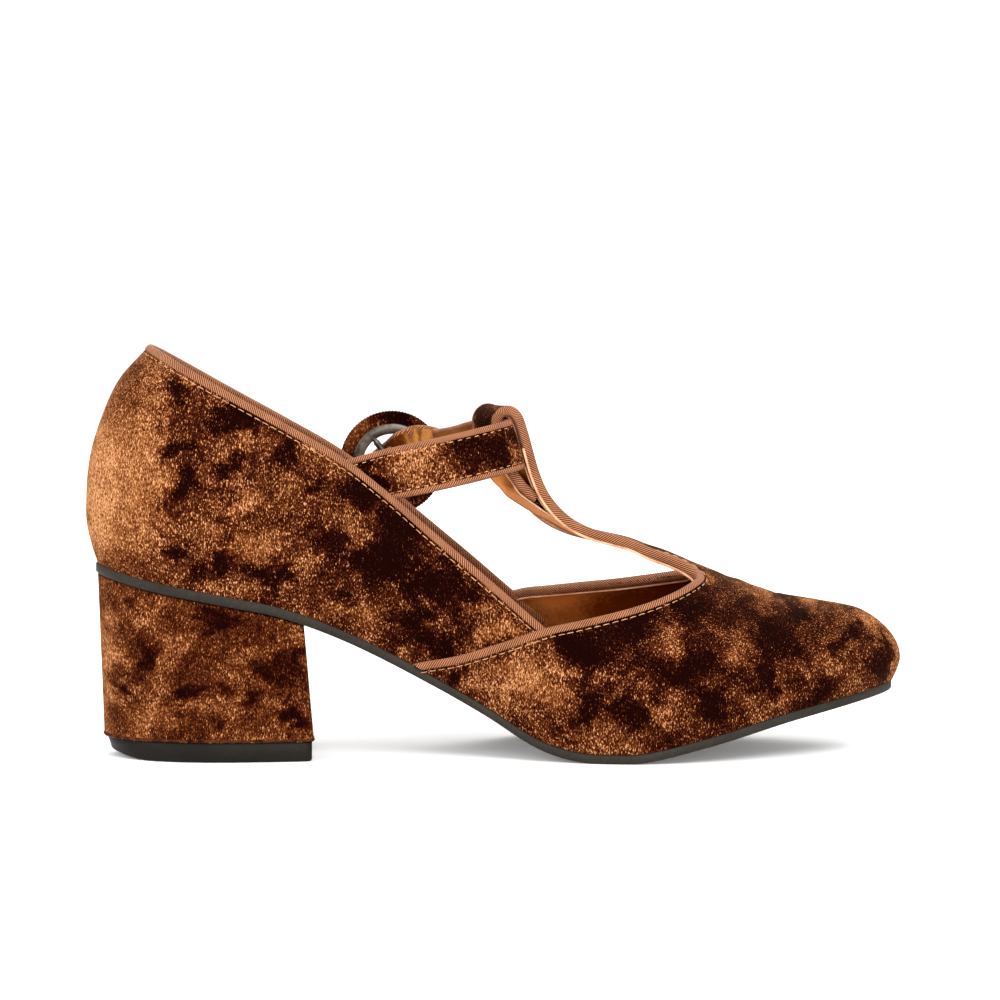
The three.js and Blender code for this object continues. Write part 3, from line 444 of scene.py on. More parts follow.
def vamp_grid(grow, margin):
    """Points of the last, and which faces lie on the vamp, as far as the margin inside its edge."""
    toe_turn = np.linspace(0, math.pi / 2, 54)[::-1]
    share = np.concatenate([np.linspace(0.36, toe_spine, 142)[:-1],
                            1 - (1 - toe_spine) * (1 - np.cos(toe_turn))])
    side = np.concatenate([-np.ones(len(share)), np.ones(len(share) - 1)])
    share = np.concatenate([share, share[::-1][1:]])
    rise = np.sin(np.linspace(0, math.pi / 2, 80))[:, None]
    points = last_point(side, share, rise, grow)
    middle = (points[1:, 1:] + points[:-1, 1:] + points[1:, :-1] + points[:-1, :-1]) / 4
    place, which = share_at(middle[..., 0]), np.sign(middle[..., 1])
    under = middle[..., 2] < vamp_edge(which, place) - margin
    foot = (place > bar_root - 0.004) & (np.abs(middle[..., 1]) < bar_half(place) - margin)
    keep = (place > throat) | under | foot
    return points, keep & (place > vamp_back)

vamp_margin = 0.9
vamp_points, vamp_keep = vamp_grid(overlay, vamp_margin)
vamp_place, vamp_which = share_at(vamp_points[..., 0]), np.sign(vamp_points[..., 1])
from_edge = np.maximum(vamp_edge(vamp_which, vamp_place) - vamp_points[..., 2],
                       (vamp_place - throat) * sole_length)
away_from_edges = np.clip(from_edge / 4, 0, 1) * np.linspace(0, 1, len(vamp_points))[:, None] ** 0.5
vamp_creased = vamp_points + (crease(vamp_points, 1) - vamp_points) * away_from_edges[..., None]
vamp = add_grid("vamp", vamp_creased, vamp_keep, flip=True)
weld(vamp)
finish(vamp, upper_velvet, "velvet")

# The T-bar: the middle of the vamp runs up as a strap of two bound layers, folds over the ankle strap as
# a loop, and its end comes down behind, under a loose strip of the lining. It turns a little towards the
# inner side as it rises.
strap_thick = 2.0
bar_thick = 2.2
loop_slack = 1.25
bar_path = [
    (0.684, 0.501, 4), (0.643, 0.52, 9), (0.605, 0.5405, 13), (0.576, 0.57, 16), (0.55, 0.621, 19),
    (0.5355, 0.674, 21), (0.5282, 0.718, 22), (0.5225, 0.756, 23), (0.5166, 0.7954, 23),
]
tail_path = [(0.4908, 0.761, 23), (0.4985, 0.716, 22), (0.5105, 0.674, 21), (0.526, 0.64, 20),
             (0.56, 0.603, 18)]

def spline(points, t):
    points = np.asarray(points, float)
    whole = np.vstack([2 * points[0] - points[1], points, 2 * points[-1] - points[-2]])
    place = np.clip(np.asarray(t, float), 0, 1) * (len(points) - 1)
    i = np.minimum(place.astype(int), len(points) - 2)
    p = (place - i)[..., None]
    p0, p1, p2, p3 = (whole[i + k] for k in range(4))
    d0, d1, d2 = (np.linalg.norm(b - a, axis=-1, keepdims=True) ** 0.5
                  for a, b in ((p0, p1), (p1, p2), (p2, p3)))
    d1 = np.where(d1 < 1e-4, 1, d1)
    d0, d2 = np.where(d0 < 1e-4, d1, d0), np.where(d2 < 1e-4, d1, d2)
    m1 = ((p1 - p0) / d0 - (p2 - p0) / (d0 + d1) + (p2 - p1) / d1) * d1
    m2 = ((p2 - p1) / d1 - (p3 - p1) / (d1 + d2) + (p3 - p2) / d2) * d1
    return p1 + m1 * p + (-3 * p1 + 3 * p2 - 2 * m1 - m2) * p**2 + (2 * p1 - 2 * p2 + m1 + m2) * p**3

def band_frame(places, across, t):
    centre = spline(places, t)
    along = unit(spline(places, np.minimum(t + 1e-4, 1)) - spline(places, np.maximum(t - 1e-4, 0)))
    wide = spline(across, t)
    wide = unit(wide - along * (wide * along).sum(-1, keepdims=True))
    return centre, along, wide, np.cross(along, wide)

def bar_row(forward, up, turn):
    angle = math.radians(turn)
    return (x_at(forward), 0, up * back_top), (-math.sin(angle), math.cos(angle), 0)

fold_radius = (strap_thick + bar_thick) / 2 + loop_slack
fold_x, fold_z = x_at(0.5005), 0.809 * back_top
fold_rows = [((fold_x + fold_radius * math.cos(turn), 0, fold_z + fold_radius * math.sin(turn)),
              bar_row(0, 0, 23)[1]) for turn in np.radians(np.linspace(17, 193, 9))]
foot_place = last_point(-1.0, 0.732, 1.0, overlay - bar_thick / 2) * (1, 0, 1)
front_rows, tail_rows = ([bar_row(*row) for row in path] for path in (bar_path, tail_path))
bar_rows = [(foot_place, (0, 1, 0))] + front_rows + fold_rows + tail_rows
bar_places, bar_across = [row[0] for row in bar_rows], [row[1] for row in bar_rows]

def crown_height(x, y, grow):
    side = np.where(y < 0, -1.0, 1.0)
    profiles = last_point(side[..., None], share_at(x)[..., None], np.linspace(0.55, 1, 160), grow)
    out = np.empty(x.shape)
    for index in np.ndindex(x.shape):
        profile = profiles[index][::-1]
        out[index] = np.interp(abs(y[index]), np.abs(profile[:, 1]), profile[:, 2])
    return out

def bar_surface(t, lateral, height):
    """Points of the T-bar: t along it, lateral from -1 to 1 across it, height from its outer face."""
    centre, along, wide, back = band_frame(bar_places, bar_across, t)
    half = (bar_width + (bar_top_width - bar_width) * np.clip(t * (len(bar_rows) - 1) / 14, 0, 1)) / 2
    dome = 0.5 * (1 - lateral**2)
    free = centre + wide * (half * lateral)[..., None] - back * (bar_thick / 2 + dome + height)[..., None]
    x = centre[..., 0]
    on_last = np.clip((x - x_at(0.662)) / (x_at(bar_root) - x_at(0.662)), 0, 1)
    on_last = (on_last * on_last * (3 - 2 * on_last)) * (t * (len(bar_rows) - 1) < 9)
    y = lateral * bar_half(share_at(x))
    laid = np.stack([x, y, crown_height(x, y, overlay)], -1) - back * (height + 0.03)[..., None]
    return free + (laid - free) * on_last[..., None]

bar_t = np.linspace(0.012, 0.99, 228)
bar_lateral = np.linspace(-0.93, 0.93, 17)
t_grid, lateral_grid = np.meshgrid(bar_t, bar_lateral, indexing="ij")
bar_points = bar_surface(t_grid, lateral_grid, np.zeros(t_grid.shape))
finish(add_grid("t_bar", bar_points), upper_velvet, "velvet")

# The lining: thin gold-bronze leather cloth, glued inside the quarter and the vamp and under the T-bar.
# Its trimmed edge shows as a light line just inside the binding.
grain, grain_in, grain_out = new_group(
    "lining_grain", [("Place", "NodeSocketVector", None), ("Scale", "NodeSocketFloat", 900.0)],
    [("Relief", "NodeSocketFloat"), ("Tone", "NodeSocketFloat")])
pebbles = noise(grain, grain_in.outputs["Place"], grain_in.outputs["Scale"], 3.0, 0.55)
wrinkles = noise(grain, grain_in.outputs["Place"], 45.0, 3.0, 0.5, 0.5)
grain.links.new(sums(grain, "ADD", sums(grain, "MULTIPLY", pebbles, 0.4), wrinkles),
                grain_out.inputs["Relief"])
grain.links.new(sums(grain, "ADD", sums(grain, "MULTIPLY", pebbles, 0.35),
                     sums(grain, "MULTIPLY", wrinkles, 0.65)), grain_out.inputs["Tone"])

def lining_material(name, dark, light, metallic, roughness):
    material, tree, shader = new_material(name, roughness, metallic=metallic, gloss_tint=(0.9, 0.45, 0.16))
    surface = place_group(tree, grain)
    tree.links.new(object_place(tree), surface.inputs["Place"])
    # The painted highlights (minus) and painted shade (plus) kept on each lining piece lighten or darken its
    # tone.
    marks = tree.nodes.new("ShaderNodeAttribute")
    marks.attribute_name = "crush_and_painted_light"
    tone = sums(tree, "SUBTRACT", surface.outputs["Tone"], sums(tree, "MULTIPLY", marks.outputs["Fac"], 0.45))
    shade(tree, shader, tone, [(0.3, dark), (0.7, light)])
    bump_into(tree, shader, surface.outputs["Relief"], 0.35, 0.0006)
    return material

def paint_lining_light_and_shade(piece, *marks):
    """Painted shade (plus) and painted highlights (minus): along the shoe, height, half sizes and strength.
    """
    places = np.empty(len(piece.data.vertices) * 3)
    piece.data.vertices.foreach_get("co", places)
    places = places.reshape(-1, 3) * 1000
    painted_light_and_shade = np.zeros(len(places))
    for x, z, half_long, half_high, strength in marks:
        painted_light_and_shade += strength * np.exp(-((places[:, 0] - x) / half_long) ** 2
                                   - ((places[:, 2] - z) / half_high) ** 2)
    piece.data.attributes["crush_and_painted_light"].data.foreach_set("value", painted_light_and_shade.astype(np.float32))

lining_cloth = lining_material("gold bronze lining", (0.2, 0.05, 0.005), (0.68, 0.31, 0.09), 0.75, 0.36)
trim = 0.4
lining_margin = 1.3
inside_top = topline_rise(quarter_side, quarter_share) - trim / instep_depth
quarter_lining_points = last_point(quarter_side, quarter_share, inside_top * up_rows, -wall)
quarter_lining = add_grid("quarter_lining", quarter_lining_points)
finish(quarter_lining, lining_cloth, "sock")
# Painted light in the throat's lining: two painted highlights near its back, where a lamp would gleam on the
# metallic cloth, and painted shade lower down and further in towards the toe.
throat_painted_light_and_shade = [(107, 44, 7, 5, -1.0), (120, 47, 10, 3, -0.4), (142, 42, 14, 12, 0.7),
                 (124, 38, 10, 5, 0.3)]
paint_lining_light_and_shade(quarter_lining, *throat_painted_light_and_shade)
vamp_lining_points, vamp_lining_keep = vamp_grid(-wall, lining_margin)
vamp_lining = add_grid("vamp_lining", vamp_lining_points, vamp_lining_keep)
weld(vamp_lining)
finish(vamp_lining, lining_cloth, "sock")
paint_lining_light_and_shade(vamp_lining, *throat_painted_light_and_shade)
under_points = bar_surface(t_grid, lateral_grid, np.full(t_grid.shape, -bar_thick - 0.05))
bar_lining = add_grid("bar_lining", under_points, flip=True)
finish(bar_lining, lining_cloth, "sock")
# A painted highlight on the T-bar's lining.
paint_lining_light_and_shade(bar_lining, (90, 80, 20, 20, -0.3))

# The binding: a ribbed bias tape in a lighter brown, folded over every cut edge and sewn down with one
# row of stitches. Where the vamp is lapped over the quarter it goes round the vamp alone, and elsewhere
# round velvet and lining.
binding_width = 2.4
bead = 0.45

def run_along(line):
    return np.concatenate([[0], np.cumsum(np.linalg.norm(np.diff(line, axis=0), axis=1))])

def points_at(at, run, points):
    return np.stack([np.interp(at, run, points[:, k]) for k in range(3)], 1)

def even_line(line, normal, step, soften):
    run = run_along(line)
    at = np.linspace(0, run[-1], max(int(run[-1] / step), 4) + 1)
    line, normal = points_at(at, run, line), points_at(at, run, normal)
    for _ in range(soften):
        line[1:-1] = line[1:-1] * 0.5 + (line[:-2] + line[2:]) * 0.25
        normal[1:-1] = normal[1:-1] * 0.5 + (normal[:-2] + normal[2:]) * 0.25
    tangent = unit(np.gradient(line, axis=0))
    normal = unit(normal - tangent * (normal * tangent).sum(1, keepdims=True))
    return line, tangent, normal

def tape_section(depth, outer_leg):
    """The folded tape across the edge: distance into the cloth, and height over its outer face."""
    low = -np.asarray(depth, float)
    inner_leg = 2.0
    corners = [
        (outer_leg, -0.2), (outer_leg, 0.15), (outer_leg - 0.25, 0.36), (outer_leg * 0.5, 0.44),
        (0.6, 0.42), (0.1, 0.26), (-0.24, -0.1), (-0.34, low * 0.5), (-0.24, low + 0.1), (0.1, low - 0.22),
        (0.6, low - 0.34), (inner_leg - 0.2, low - 0.36), (inner_leg, low - 0.15), (inner_leg, low + 0.2),
        (inner_leg * 0.6, low * 0.5),
    ]
    return np.stack([np.stack(np.broadcast_arrays(along, height, low)[:2], -1)
                     for along, height in corners], -2)

def tube_faces(rows, corners):
    """The index of each point of a tube of sections, and the faces between the sections."""
    index = np.arange(rows * corners).reshape(rows, corners)
    around = np.roll(index, -1, axis=1)
    return index, np.stack([index[:-1], around[:-1], around[1:], index[1:]], -1).reshape(-1, 4)

def sweep(name, line, normal, inward, section):
    points = line[:, None] + inward[:, None] * section[..., :1] + normal[:, None] * section[..., 1:]
    points[..., 2] = np.maximum(points[..., 2], underside(share_at(points[..., 0])) + sole_edge)
    girth = run_along(section if section.ndim == 2 else section[-1])
    uv = np.stack(np.broadcast_arrays(run_along(line)[:, None], girth[None]), -1)
    index, faces = tube_faces(len(line), section.shape[-2])
    faces = faces.tolist() + [index[0].tolist()[::-1], index[-1].tolist()]
    return add_mesh(name, points.reshape(-1, 3), faces, uv.reshape(-1, 2))

ribs, ribs_in, ribs_out = new_group(
    "twill_ribs", [("Along", "NodeSocketVector", None), ("Pitch", "NodeSocketFloat", 0.8),
                   ("Slant", "NodeSocketFloat", -0.9)], [("Relief", "NodeSocketFloat")])
split = ribs.nodes.new("ShaderNodeSeparateXYZ")
ribs.links.new(ribs_in.outputs["Along"], split.inputs[0])
slant = sums(ribs, "MULTIPLY", split.outputs["Y"], ribs_in.outputs["Slant"])
slanted = sums(ribs, "ADD", split.outputs["X"], slant)
turns = sums(ribs, "DIVIDE", sums(ribs, "MULTIPLY", slanted, 1000 * math.tau), ribs_in.outputs["Pitch"])
ribs.links.new(sums(ribs, "MULTIPLY_ADD", sums(ribs, "SINE", turns, None), 0.5, 0.5),
               ribs_out.inputs["Relief"])

binding_tape, tape_tree, tape_shader = new_material("ribbed binding", 0.65, sheen=0.06,
                                                    sheen_tint=(1.0, 0.6, 0.4), gloss=0.2)
along_tape = tape_tree.nodes.new("ShaderNodeUVMap")
along_tape.uv_map = "metres"
twill = place_group(tape_tree, ribs)
tape_tree.links.new(along_tape.outputs["UV"], twill.inputs["Along"])
uneven = noise(tape_tree, object_place(tape_tree), 160.0, 3.0)
tape_tone = sums(tape_tree, "ADD", sums(tape_tree, "MULTIPLY", twill.outputs["Relief"], 0.8),
                 sums(tape_tree, "MULTIPLY", uneven, 0.36))
shade(tape_tree, tape_shader, tape_tone,
      [(0.1, (0.022, 0.004, 0.0015)), (0.55, (0.2, 0.062, 0.022)), (1.0, (0.6, 0.25, 0.115))])
bump_into(tape_tree, tape_shader, twill.outputs["Relief"], 0.8, 0.0004)

def make_binding(name, line, normal, turn, depth, step=0.7, soften=4, outer_leg=binding_width - 0.4):
    line, tangent, normal = even_line(line, normal, step, soften)
    inward = np.cross(normal, tangent) * turn
    if callable(depth):
        depth = depth(line)
    tape = sweep(name, line, normal, inward, tape_section(depth, outer_leg))
    finish(tape, binding_tape, "velvet")
    return line, tangent, normal, inward

top_normal = surface_normal(quarter_side, quarter_share, quarter_top)
top_rim = make_binding("topline_binding", quarter_points[-1], top_normal, 1, wall)

def throat_line(side):
    edge_share = np.linspace(vamp_back, throat, 160)
    edge_share = edge_share[vamp_edge(side, edge_share) > underside(edge_share) + sole_edge + 0.3]
    level = vamp_edge(side, edge_share)
    floor = underside(edge_share) + sole_edge
    crown = floor + depth_share(edge_share) * instep_depth + overlay
    edge_rise = np.minimum((level - floor) / (crown - floor), 1)
    edge = last_point(side, edge_share, edge_rise, overlay)
    edge_normal = surface_normal(side, edge_share, edge_rise, overlay)
    before = np.abs(edge[:, 1]) > bar_half(edge_share) + 0.2
    edge, edge_normal, corner = edge[before], edge_normal[before], edge_share[before][-1]
    foot_share = np.linspace(corner, bar_root, 60)
    foot_rise = []
    rises = np.linspace(0.5, 1, 600)
    for share in foot_share:
        across = np.abs(last_point(side, share, rises, overlay)[:, 1])
        foot_rise.append(np.interp(bar_half(share), across[::-1], rises[::-1]))
    foot = last_point(side, foot_share, np.array(foot_rise), overlay)
    foot_normal = surface_normal(side, foot_share, np.array(foot_rise), overlay)
    start = bar_t[np.searchsorted(-spline(bar_places, bar_t)[:, 0], -x_at(bar_root))]
    rise_t = np.linspace(start + 0.004, 0.982, 256)
    lateral = np.full(rise_t.shape, float(side))
    rising = bar_surface(rise_t, lateral, np.zeros(rise_t.shape))
    _, _, _, back = band_frame(bar_places, bar_across, rise_t)
    return np.vstack([edge, foot, rising]), np.vstack([edge_normal, foot_normal, -back])

def over_quarter(line):
    """1 where the vamp's edge lies below the quarter's topline, lapped over the quarter, else 0."""
    share = share_at(line[:, 0])
    below = topline_of(np.sign(line[:, 1]), share) * back_top - line[:, 2]
    return np.clip(below / 2 + 0.5, 0, 1) * (share < 0.6)

def lapped_depth(line):
    """The tape goes round the vamp alone where it is lapped, and elsewhere round the whole wall."""
    return overlay + 0.1 + (wall - 0.1) * (1 - over_quarter(line))

inner_rim = make_binding("inner_throat_binding", *throat_line(-1), -1, lapped_depth, soften=14)
outer_rim = make_binding("outer_throat_binding", *throat_line(1), 1, lapped_depth, soften=14)

thread_radius = 0.135
stitch_length = 1.9
stitch_pitch = 2.7
end_gap = 2.0

def add_stitches(name, rim, offset, height):
    """One sewn row beside a binding: each stitch is a small thread bridge, sunk in at both ends."""
    line, _, normal, inward = rim
    run = run_along(line)
    middles = np.arange(end_gap, run[-1] - end_gap, stitch_pitch)
    around, steps = 6, 5
    ring = np.linspace(0, math.tau, around, endpoint=False)
    points, faces = [], []
    for middle in middles:
        at = middle + np.linspace(-stitch_length / 2, stitch_length / 2, steps)
        place, up, aside = (points_at(at, run, part) for part in (line, normal, inward))
        arch = 1 - np.linspace(-1, 1, steps) ** 2
        middle_line = place + aside * offset + up * (height - 0.25 + 0.3 * arch)[:, None]
        for k in range(steps):
            for turn in ring:
                points.append(middle_line[k] + thread_radius * (up[k] * math.sin(turn)
                                                                + aside[k] * math.cos(turn)))
        first = len(points) - steps * around
        for k in range(steps - 1):
            for j in range(around):
                a, b = first + k * around + j, first + k * around + (j + 1) % around
                faces.append((a, b, b + around, a + around))
    finish(add_mesh(name, points, faces), thread, "velvet")

def mottled_material(name, roughness, gloss, scale, detail, dark, light):
    """A plain material whose colour wanders between two shades."""
    material, tree, shader = new_material(name, roughness, gloss=gloss)
    shade(tree, shader, noise(tree, object_place(tree), scale, detail), [(0.3, dark), (0.7, light)])
    return material

thread = mottled_material("sewing thread", 0.55, 0.3, 700.0, 2.0, (0.36, 0.15, 0.06), (0.66, 0.36, 0.17))
for rim_name, rim in (("topline_stitches", top_rim), ("inner_throat_stitches", inner_rim),
                      ("outer_throat_stitches", outer_rim)):
    add_stitches(rim_name, rim, binding_width + 0.4, 0.1)

# The lining's trimmed edge, pale where the cloth is cut, shows along the inside of the bindings. Behind
# the ankle strap a loose strip of lining comes down from the fold and is caught under the T-bar.
cut_edge = mottled_material("cut lining edge", 0.6, 0.3, 260.0, 3.0, (0.5, 0.2, 0.085), (0.8, 0.45, 0.26))

def cut_line(name, rim, depth, along):
    line, _, normal, inward = rim
    clear = over_quarter(line) < 0.5 if depth > wall else np.ones(len(line), bool)
    line, normal, inward = line[clear], normal[clear], inward[clear]
    section = np.array([(along - 0.2, -depth - 0.65), (along + 0.4, -depth - 0.65),
                        (along + 0.5, -depth - 0.1), (along, 0.1 - depth)])
    finish(sweep(name, line, normal, inward, section), cut_edge, "sock")

cut_line("topline_cut_edge", top_rim, wall, 2.0)
cut_line("inner_throat_cut_edge", inner_rim, wall + overlay, 2.0)
cut_line("outer_throat_cut_edge", outer_rim, wall + overlay, 2.0)
for rim_name, rim in (("inner_bar_cut_edge", inner_rim), ("outer_bar_cut_edge", outer_rim)):
    along_bar = slice(int(np.argmax(rim[0][:, 0])), None)
    rising = tuple(part[along_bar] for part in rim)
    rising = tuple(part[:np.argmax(rising[0][:, 0] < x_at(0.54))] for part in rising)
    cut_line(rim_name, rising, bar_thick + 0.35, -0.1)

centre_x = spline(bar_places, bar_t)[:, 0]
caught = [bar_t[np.argmax(centre_x < x_at(share))] for share in (0.58, 0.64)]
behind_t, under_t = np.linspace(0.89, 0.965, 30), np.linspace(*caught, 26)
strip_across = np.linspace(-0.84, 0.84, 13)
behind_grid, behind_lateral = np.meshgrid(behind_t, strip_across, indexing="ij")
under_grid, under_lateral = np.meshgrid(under_t, strip_across, indexing="ij")
under_lateral = under_lateral * np.linspace(1, 0.8, 26)[:, None]
loose_outer = np.vstack([bar_surface(behind_grid, behind_lateral, np.full(behind_grid.shape, 0.5)),
                         bar_surface(under_grid, under_lateral,
                                     np.full(under_grid.shape, -bar_thick - 0.75))])
for _ in range(12):
    loose_outer[1:-1] = loose_outer[1:-1] * 0.5 + (loose_outer[:-2] + loose_outer[2:]) * 0.25
run = np.linspace(0, 1, len(loose_outer))[:, None, None]
loose_back = np.cross(np.gradient(loose_outer, axis=0), np.gradient(loose_outer, axis=1))
loose_back = unit(loose_back) * np.sign((unit(loose_back)[:5] * (-1, 0, -0.3)).sum())
loose_outer = loose_outer + loose_back * (0.45 * np.sin(run * 17) * np.sin(math.pi * run)
                                          * np.abs(strip_across)[None, :, None] ** 1.5)
loose_strip = add_grid("loose_lining", loose_outer)
finish(loose_strip, lining_cloth, "sock")
# A painted highlight on the loose strip.
paint_lining_light_and_shade(loose_strip, (88, 84, 6, 6, -0.3))
for edge_name, column in (("loose_inner_edge", 0), ("loose_outer_edge", -1)):
    edge, back = loose_outer[:, column], loose_back[:, column]
    rim = even_line(edge, back, 0.6, 2)
    strip = sweep(edge_name, rim[0], rim[2], np.cross(rim[2], rim[1]),
                  np.array([(-0.3, -0.3), (0.3, -0.3), (0.3, 0.12), (-0.3, 0.12)]))
    finish(strip, cut_edge, "sock")

# The outsole: one thin cut sole of dark rubber. Its edge is bevelled a little at the bottom and stands
# out past the upper, and it runs on between the upper and the heel.
sole_margin = 0.5
gap = 0.35

def plan_ring(margin, last_share=1.0, steps=170):
    """The sole's outline from above: from the heel's back along the inner side, back along the outer."""
    turn = np.linspace(0, math.pi / 2, 36)
    share = np.concatenate([heel_spine * (1 - np.cos(turn)), np.linspace(heel_spine, toe_spine, steps)[1:-1],
                            1 - (1 - toe_spine) * (1 - np.cos(turn[::-1]))])
    share = np.append(share[share < last_share - 1e-6], last_share)
    rings = []
    for side in (-1.0, 1.0):
        spine = np.clip(share, heel_spine, toe_spine)
        foot = np.stack([x_at(share) - x_at(spine), side * half_breadth(side, share)], 1)
        length = np.linalg.norm(foot, axis=1, keepdims=True)
        foot *= (length + margin) / np.maximum(length, 1e-6)
        rings.append(np.stack([x_at(spine) + foot[:, 0], foot[:, 1]], 1))
    return rings[0], rings[1]

def sole_layer(name, levels, margins):
    """A thin layer on the sole's line: rows of height over the underside, each with its own margin."""
    rows = []
    for height, margin in zip(levels, margins):
        inner_ring, outer_ring = plan_ring(margin)
        ring = np.vstack([inner_ring, outer_ring[-2:0:-1]])
        rows.append(np.column_stack([ring, underside(np.clip(share_at(ring[:, 0]), 0, 1)) + height]))
    points = np.array(rows)
    count = points.shape[1]
    index, faces = tube_faces(len(points), count)
    faces = faces[:, [0, 3, 2, 1]].tolist()
    half = count // 2
    for row, flip in ((0, 1), (points.shape[0] - 1, -1)):
        ring = index[row]
        for k in range(1, half):
            face = [ring[k], ring[k + 1], ring[(count - k - 1) % count], ring[(count - k) % count]]
            faces.append(face[::flip])
        faces.append([ring[0], ring[1], ring[count - 1]][::flip])
    return add_mesh(name, points.reshape(-1, 3), faces)

def rubber_material(name, dark, light, roughness):
    material, tree, shader = new_material(name, roughness, gloss=0.12)
    fine = noise(tree, object_place(tree), 1400.0, 2.0)
    broad = noise(tree, object_place(tree), 60.0, 4.0)
    mixed = sums(tree, "ADD", sums(tree, "MULTIPLY", fine, 0.4), sums(tree, "MULTIPLY", broad, 0.6))
    shade(tree, shader, mixed, [(0.3, dark), (0.7, light)])
    bump_into(tree, shader, mixed, 0.25, 0.0003)
    return material

outsole = sole_layer("sole", [0, 0.4, sole_edge - 0.3, sole_edge],
                     [sole_margin - 0.5, sole_margin, sole_margin, sole_margin - 0.35])
finish(outsole, rubber_material("sole edge", (0.011, 0.0085, 0.0065), (0.036, 0.029, 0.022), 0.6), "sole",
       "outsole")

# The insole: a padded sock in the same gold-bronze cloth as the lining. It is cut a little smaller than
# the sole and laid over it inside the upper.
insole_thick = 1.6
insole_low = sole_edge + gap
insole = sole_layer("sock_lining", [insole_low, insole_low + insole_thick - 0.4, insole_low + insole_thick],
                    [-wall - gap, -wall - gap, -wall - gap - 0.5])
finish(insole, lining_cloth, "sock", "insole")
# Painted shade along the insole inside the forepart.
paint_lining_light_and_shade(insole, (110, 8, 40, 12, 0.2))

# The heel block: a moulded plastic block covered with the same velvet, pulled tight and turned in at the
# bottom, where its hem shows as a thin dark line. It is fixed under the sole's seat.
lift_length = 60.6
lift_width = 50.0
lift_height = 6.0
lift_inset = 0.6
heel_bottom_length = 62.2
breast = 0.2485

def heel_ring(round_corner):
    inner_ring, outer_ring = plan_ring(0, breast, 120)
    across = np.linspace(inner_ring[-1, 1], outer_ring[-1, 1], 30)[1:-1]
    face = np.column_stack([np.full(across.shape, x_at(breast)), across])
    ring = np.vstack([inner_ring, face, outer_ring[-1:0:-1]])
    for _ in range(round_corner):
        ring = ring * 0.5 + (np.roll(ring, 1, 0) + np.roll(ring, -1, 0)) * 0.25
    return ring

def heel_points(ring, rows):
    top_length = x_at(breast) - heel_back
    front = lift_length / 2 + lift_inset
    wide_bottom = (lift_width + 2 * lift_inset) / (2 * float(half_breadth(1.0, breast)))
    def at(share):
        long = heel_bottom_length / top_length * (1 - share) + share
        x = front * (1 - share) + x_at(breast) * share - (x_at(breast) - ring[:, 0]) * long
        y = ring[:, 1] * (wide_bottom * (1 - share) + share)
        return x, y, lift_height * (1 - share) + seat_height * share
    low, high = np.zeros(len(ring)), np.ones(len(ring))
    for _ in range(30):
        middle = (low + high) / 2
        x, _, z = at(middle)
        under = z < underside(np.clip(share_at(x), 0, 1)) - gap
        low, high = np.where(under, middle, low), np.where(under, high, middle)
    return np.array([np.stack(at(low * row), 1) for row in rows])

def closed_stack(name, points):
    index, faces = tube_faces(*points.shape[:2])
    faces = faces[:, [0, 3, 2, 1]].tolist() + [index[0].tolist(), index[-1].tolist()[::-1]]
    return add_mesh(name, points.reshape(-1, 3), faces)

heel_rows = np.concatenate([[0, 0.004], np.linspace(0.02, 0.98, 56), [1]])
heel = closed_stack("covered_heel", heel_points(heel_ring(3), heel_rows))
finish(heel, velvet_material("heel velvet", 0.42, patch_depth=1.2, fibre_depth=2.2, glint_depth=2.0),
       "heel_velvet", "heel_block")

hem_rows = heel_points(heel_ring(3), [0.004, 0.008, 0.016, 0.022])
hem_rows[:, :, :2] = hem_rows[:, :, :2] * np.array([1.0, 1.008, 1.008, 1.0])[:, None, None]
hem = mottled_material("turned hem", 0.9, 0.05, 500.0, 3.0, (0.012, 0.002, 0.001), (0.1, 0.028, 0.01))
finish(closed_stack("heel_hem", hem_rows), hem, "heel_velvet")

# The top lift: a black rubber wearing piece nailed under the heel. It is a little smaller than the heel,
# and its back edge is worn round.
back_wear = 1.9

def lift_points(ring):
    top_length = x_at(breast) - heel_back
    rows = []
    for height, corner in ((0, 0.55), (0.25, 0.2), (0.6, 0), (lift_height - 0.3, 0), (lift_height, 0.25)):
        from_front = (x_at(breast) - ring[:, 0]) / top_length
        behind = back_wear * np.clip(from_front, 0, 1) ** 4 * max(0, 1 - height / 2.0) ** 1.5
        x = lift_length / 2 - corner - from_front * (lift_length - behind - 2 * corner)
        y = ring[:, 1] * (lift_width - 2 * corner) / (2 * float(half_breadth(1.0, breast)))
        worn = back_wear * np.clip((from_front - 0.8) / 0.2, 0, 1) ** 2 * (1 - height / lift_height)
        rows.append(np.column_stack([x, y, height + worn]))
    return np.array(rows)

lift = closed_stack("heel_lift", lift_points(heel_ring(2)))
finish(lift, rubber_material("black lift", (0.004, 0.003, 0.002), (0.012, 0.0095, 0.0065), 0.5), "lift",
       "top_lift")

# The ankle strap: velvet on the outside, lining on the inside, bound along both edges. It is sewn inside
# the inner quarter, runs through the T-bar's loop round the front of the ankle, and through the buckle on
# the outer side.
strap_width = 14.8
ring_radius = 16.0
frame_out = -1.0
buckle_slope = math.radians(37)
buckle_x, buckle_z = x_at(0.3765), 0.6915 * back_top

def width_at(side, x, z, grow):
    share = share_at(x)
    floor = underside(share) + sole_edge
    crown = floor + depth_share(share) * instep_depth + grow
    return abs(float(last_point(side, share, np.clip((z - floor) / (crown - floor), 0, 1), grow)[..., 1]))

buckle_y = width_at(1.0, buckle_x, float(topline_of(1.0, 0.3765)) * back_top, 0) + 9

def from_buckle(tipward, pinward, outward):
    tipward, pinward, outward = (np.asarray(v, float) for v in (tipward, pinward, outward))
    cos, sin = math.cos(buckle_slope), math.sin(buckle_slope)
    return np.stack(np.broadcast_arrays(buckle_x - tipward * cos - pinward * sin, buckle_y + outward,
                                        buckle_z - tipward * sin + pinward * cos), -1)

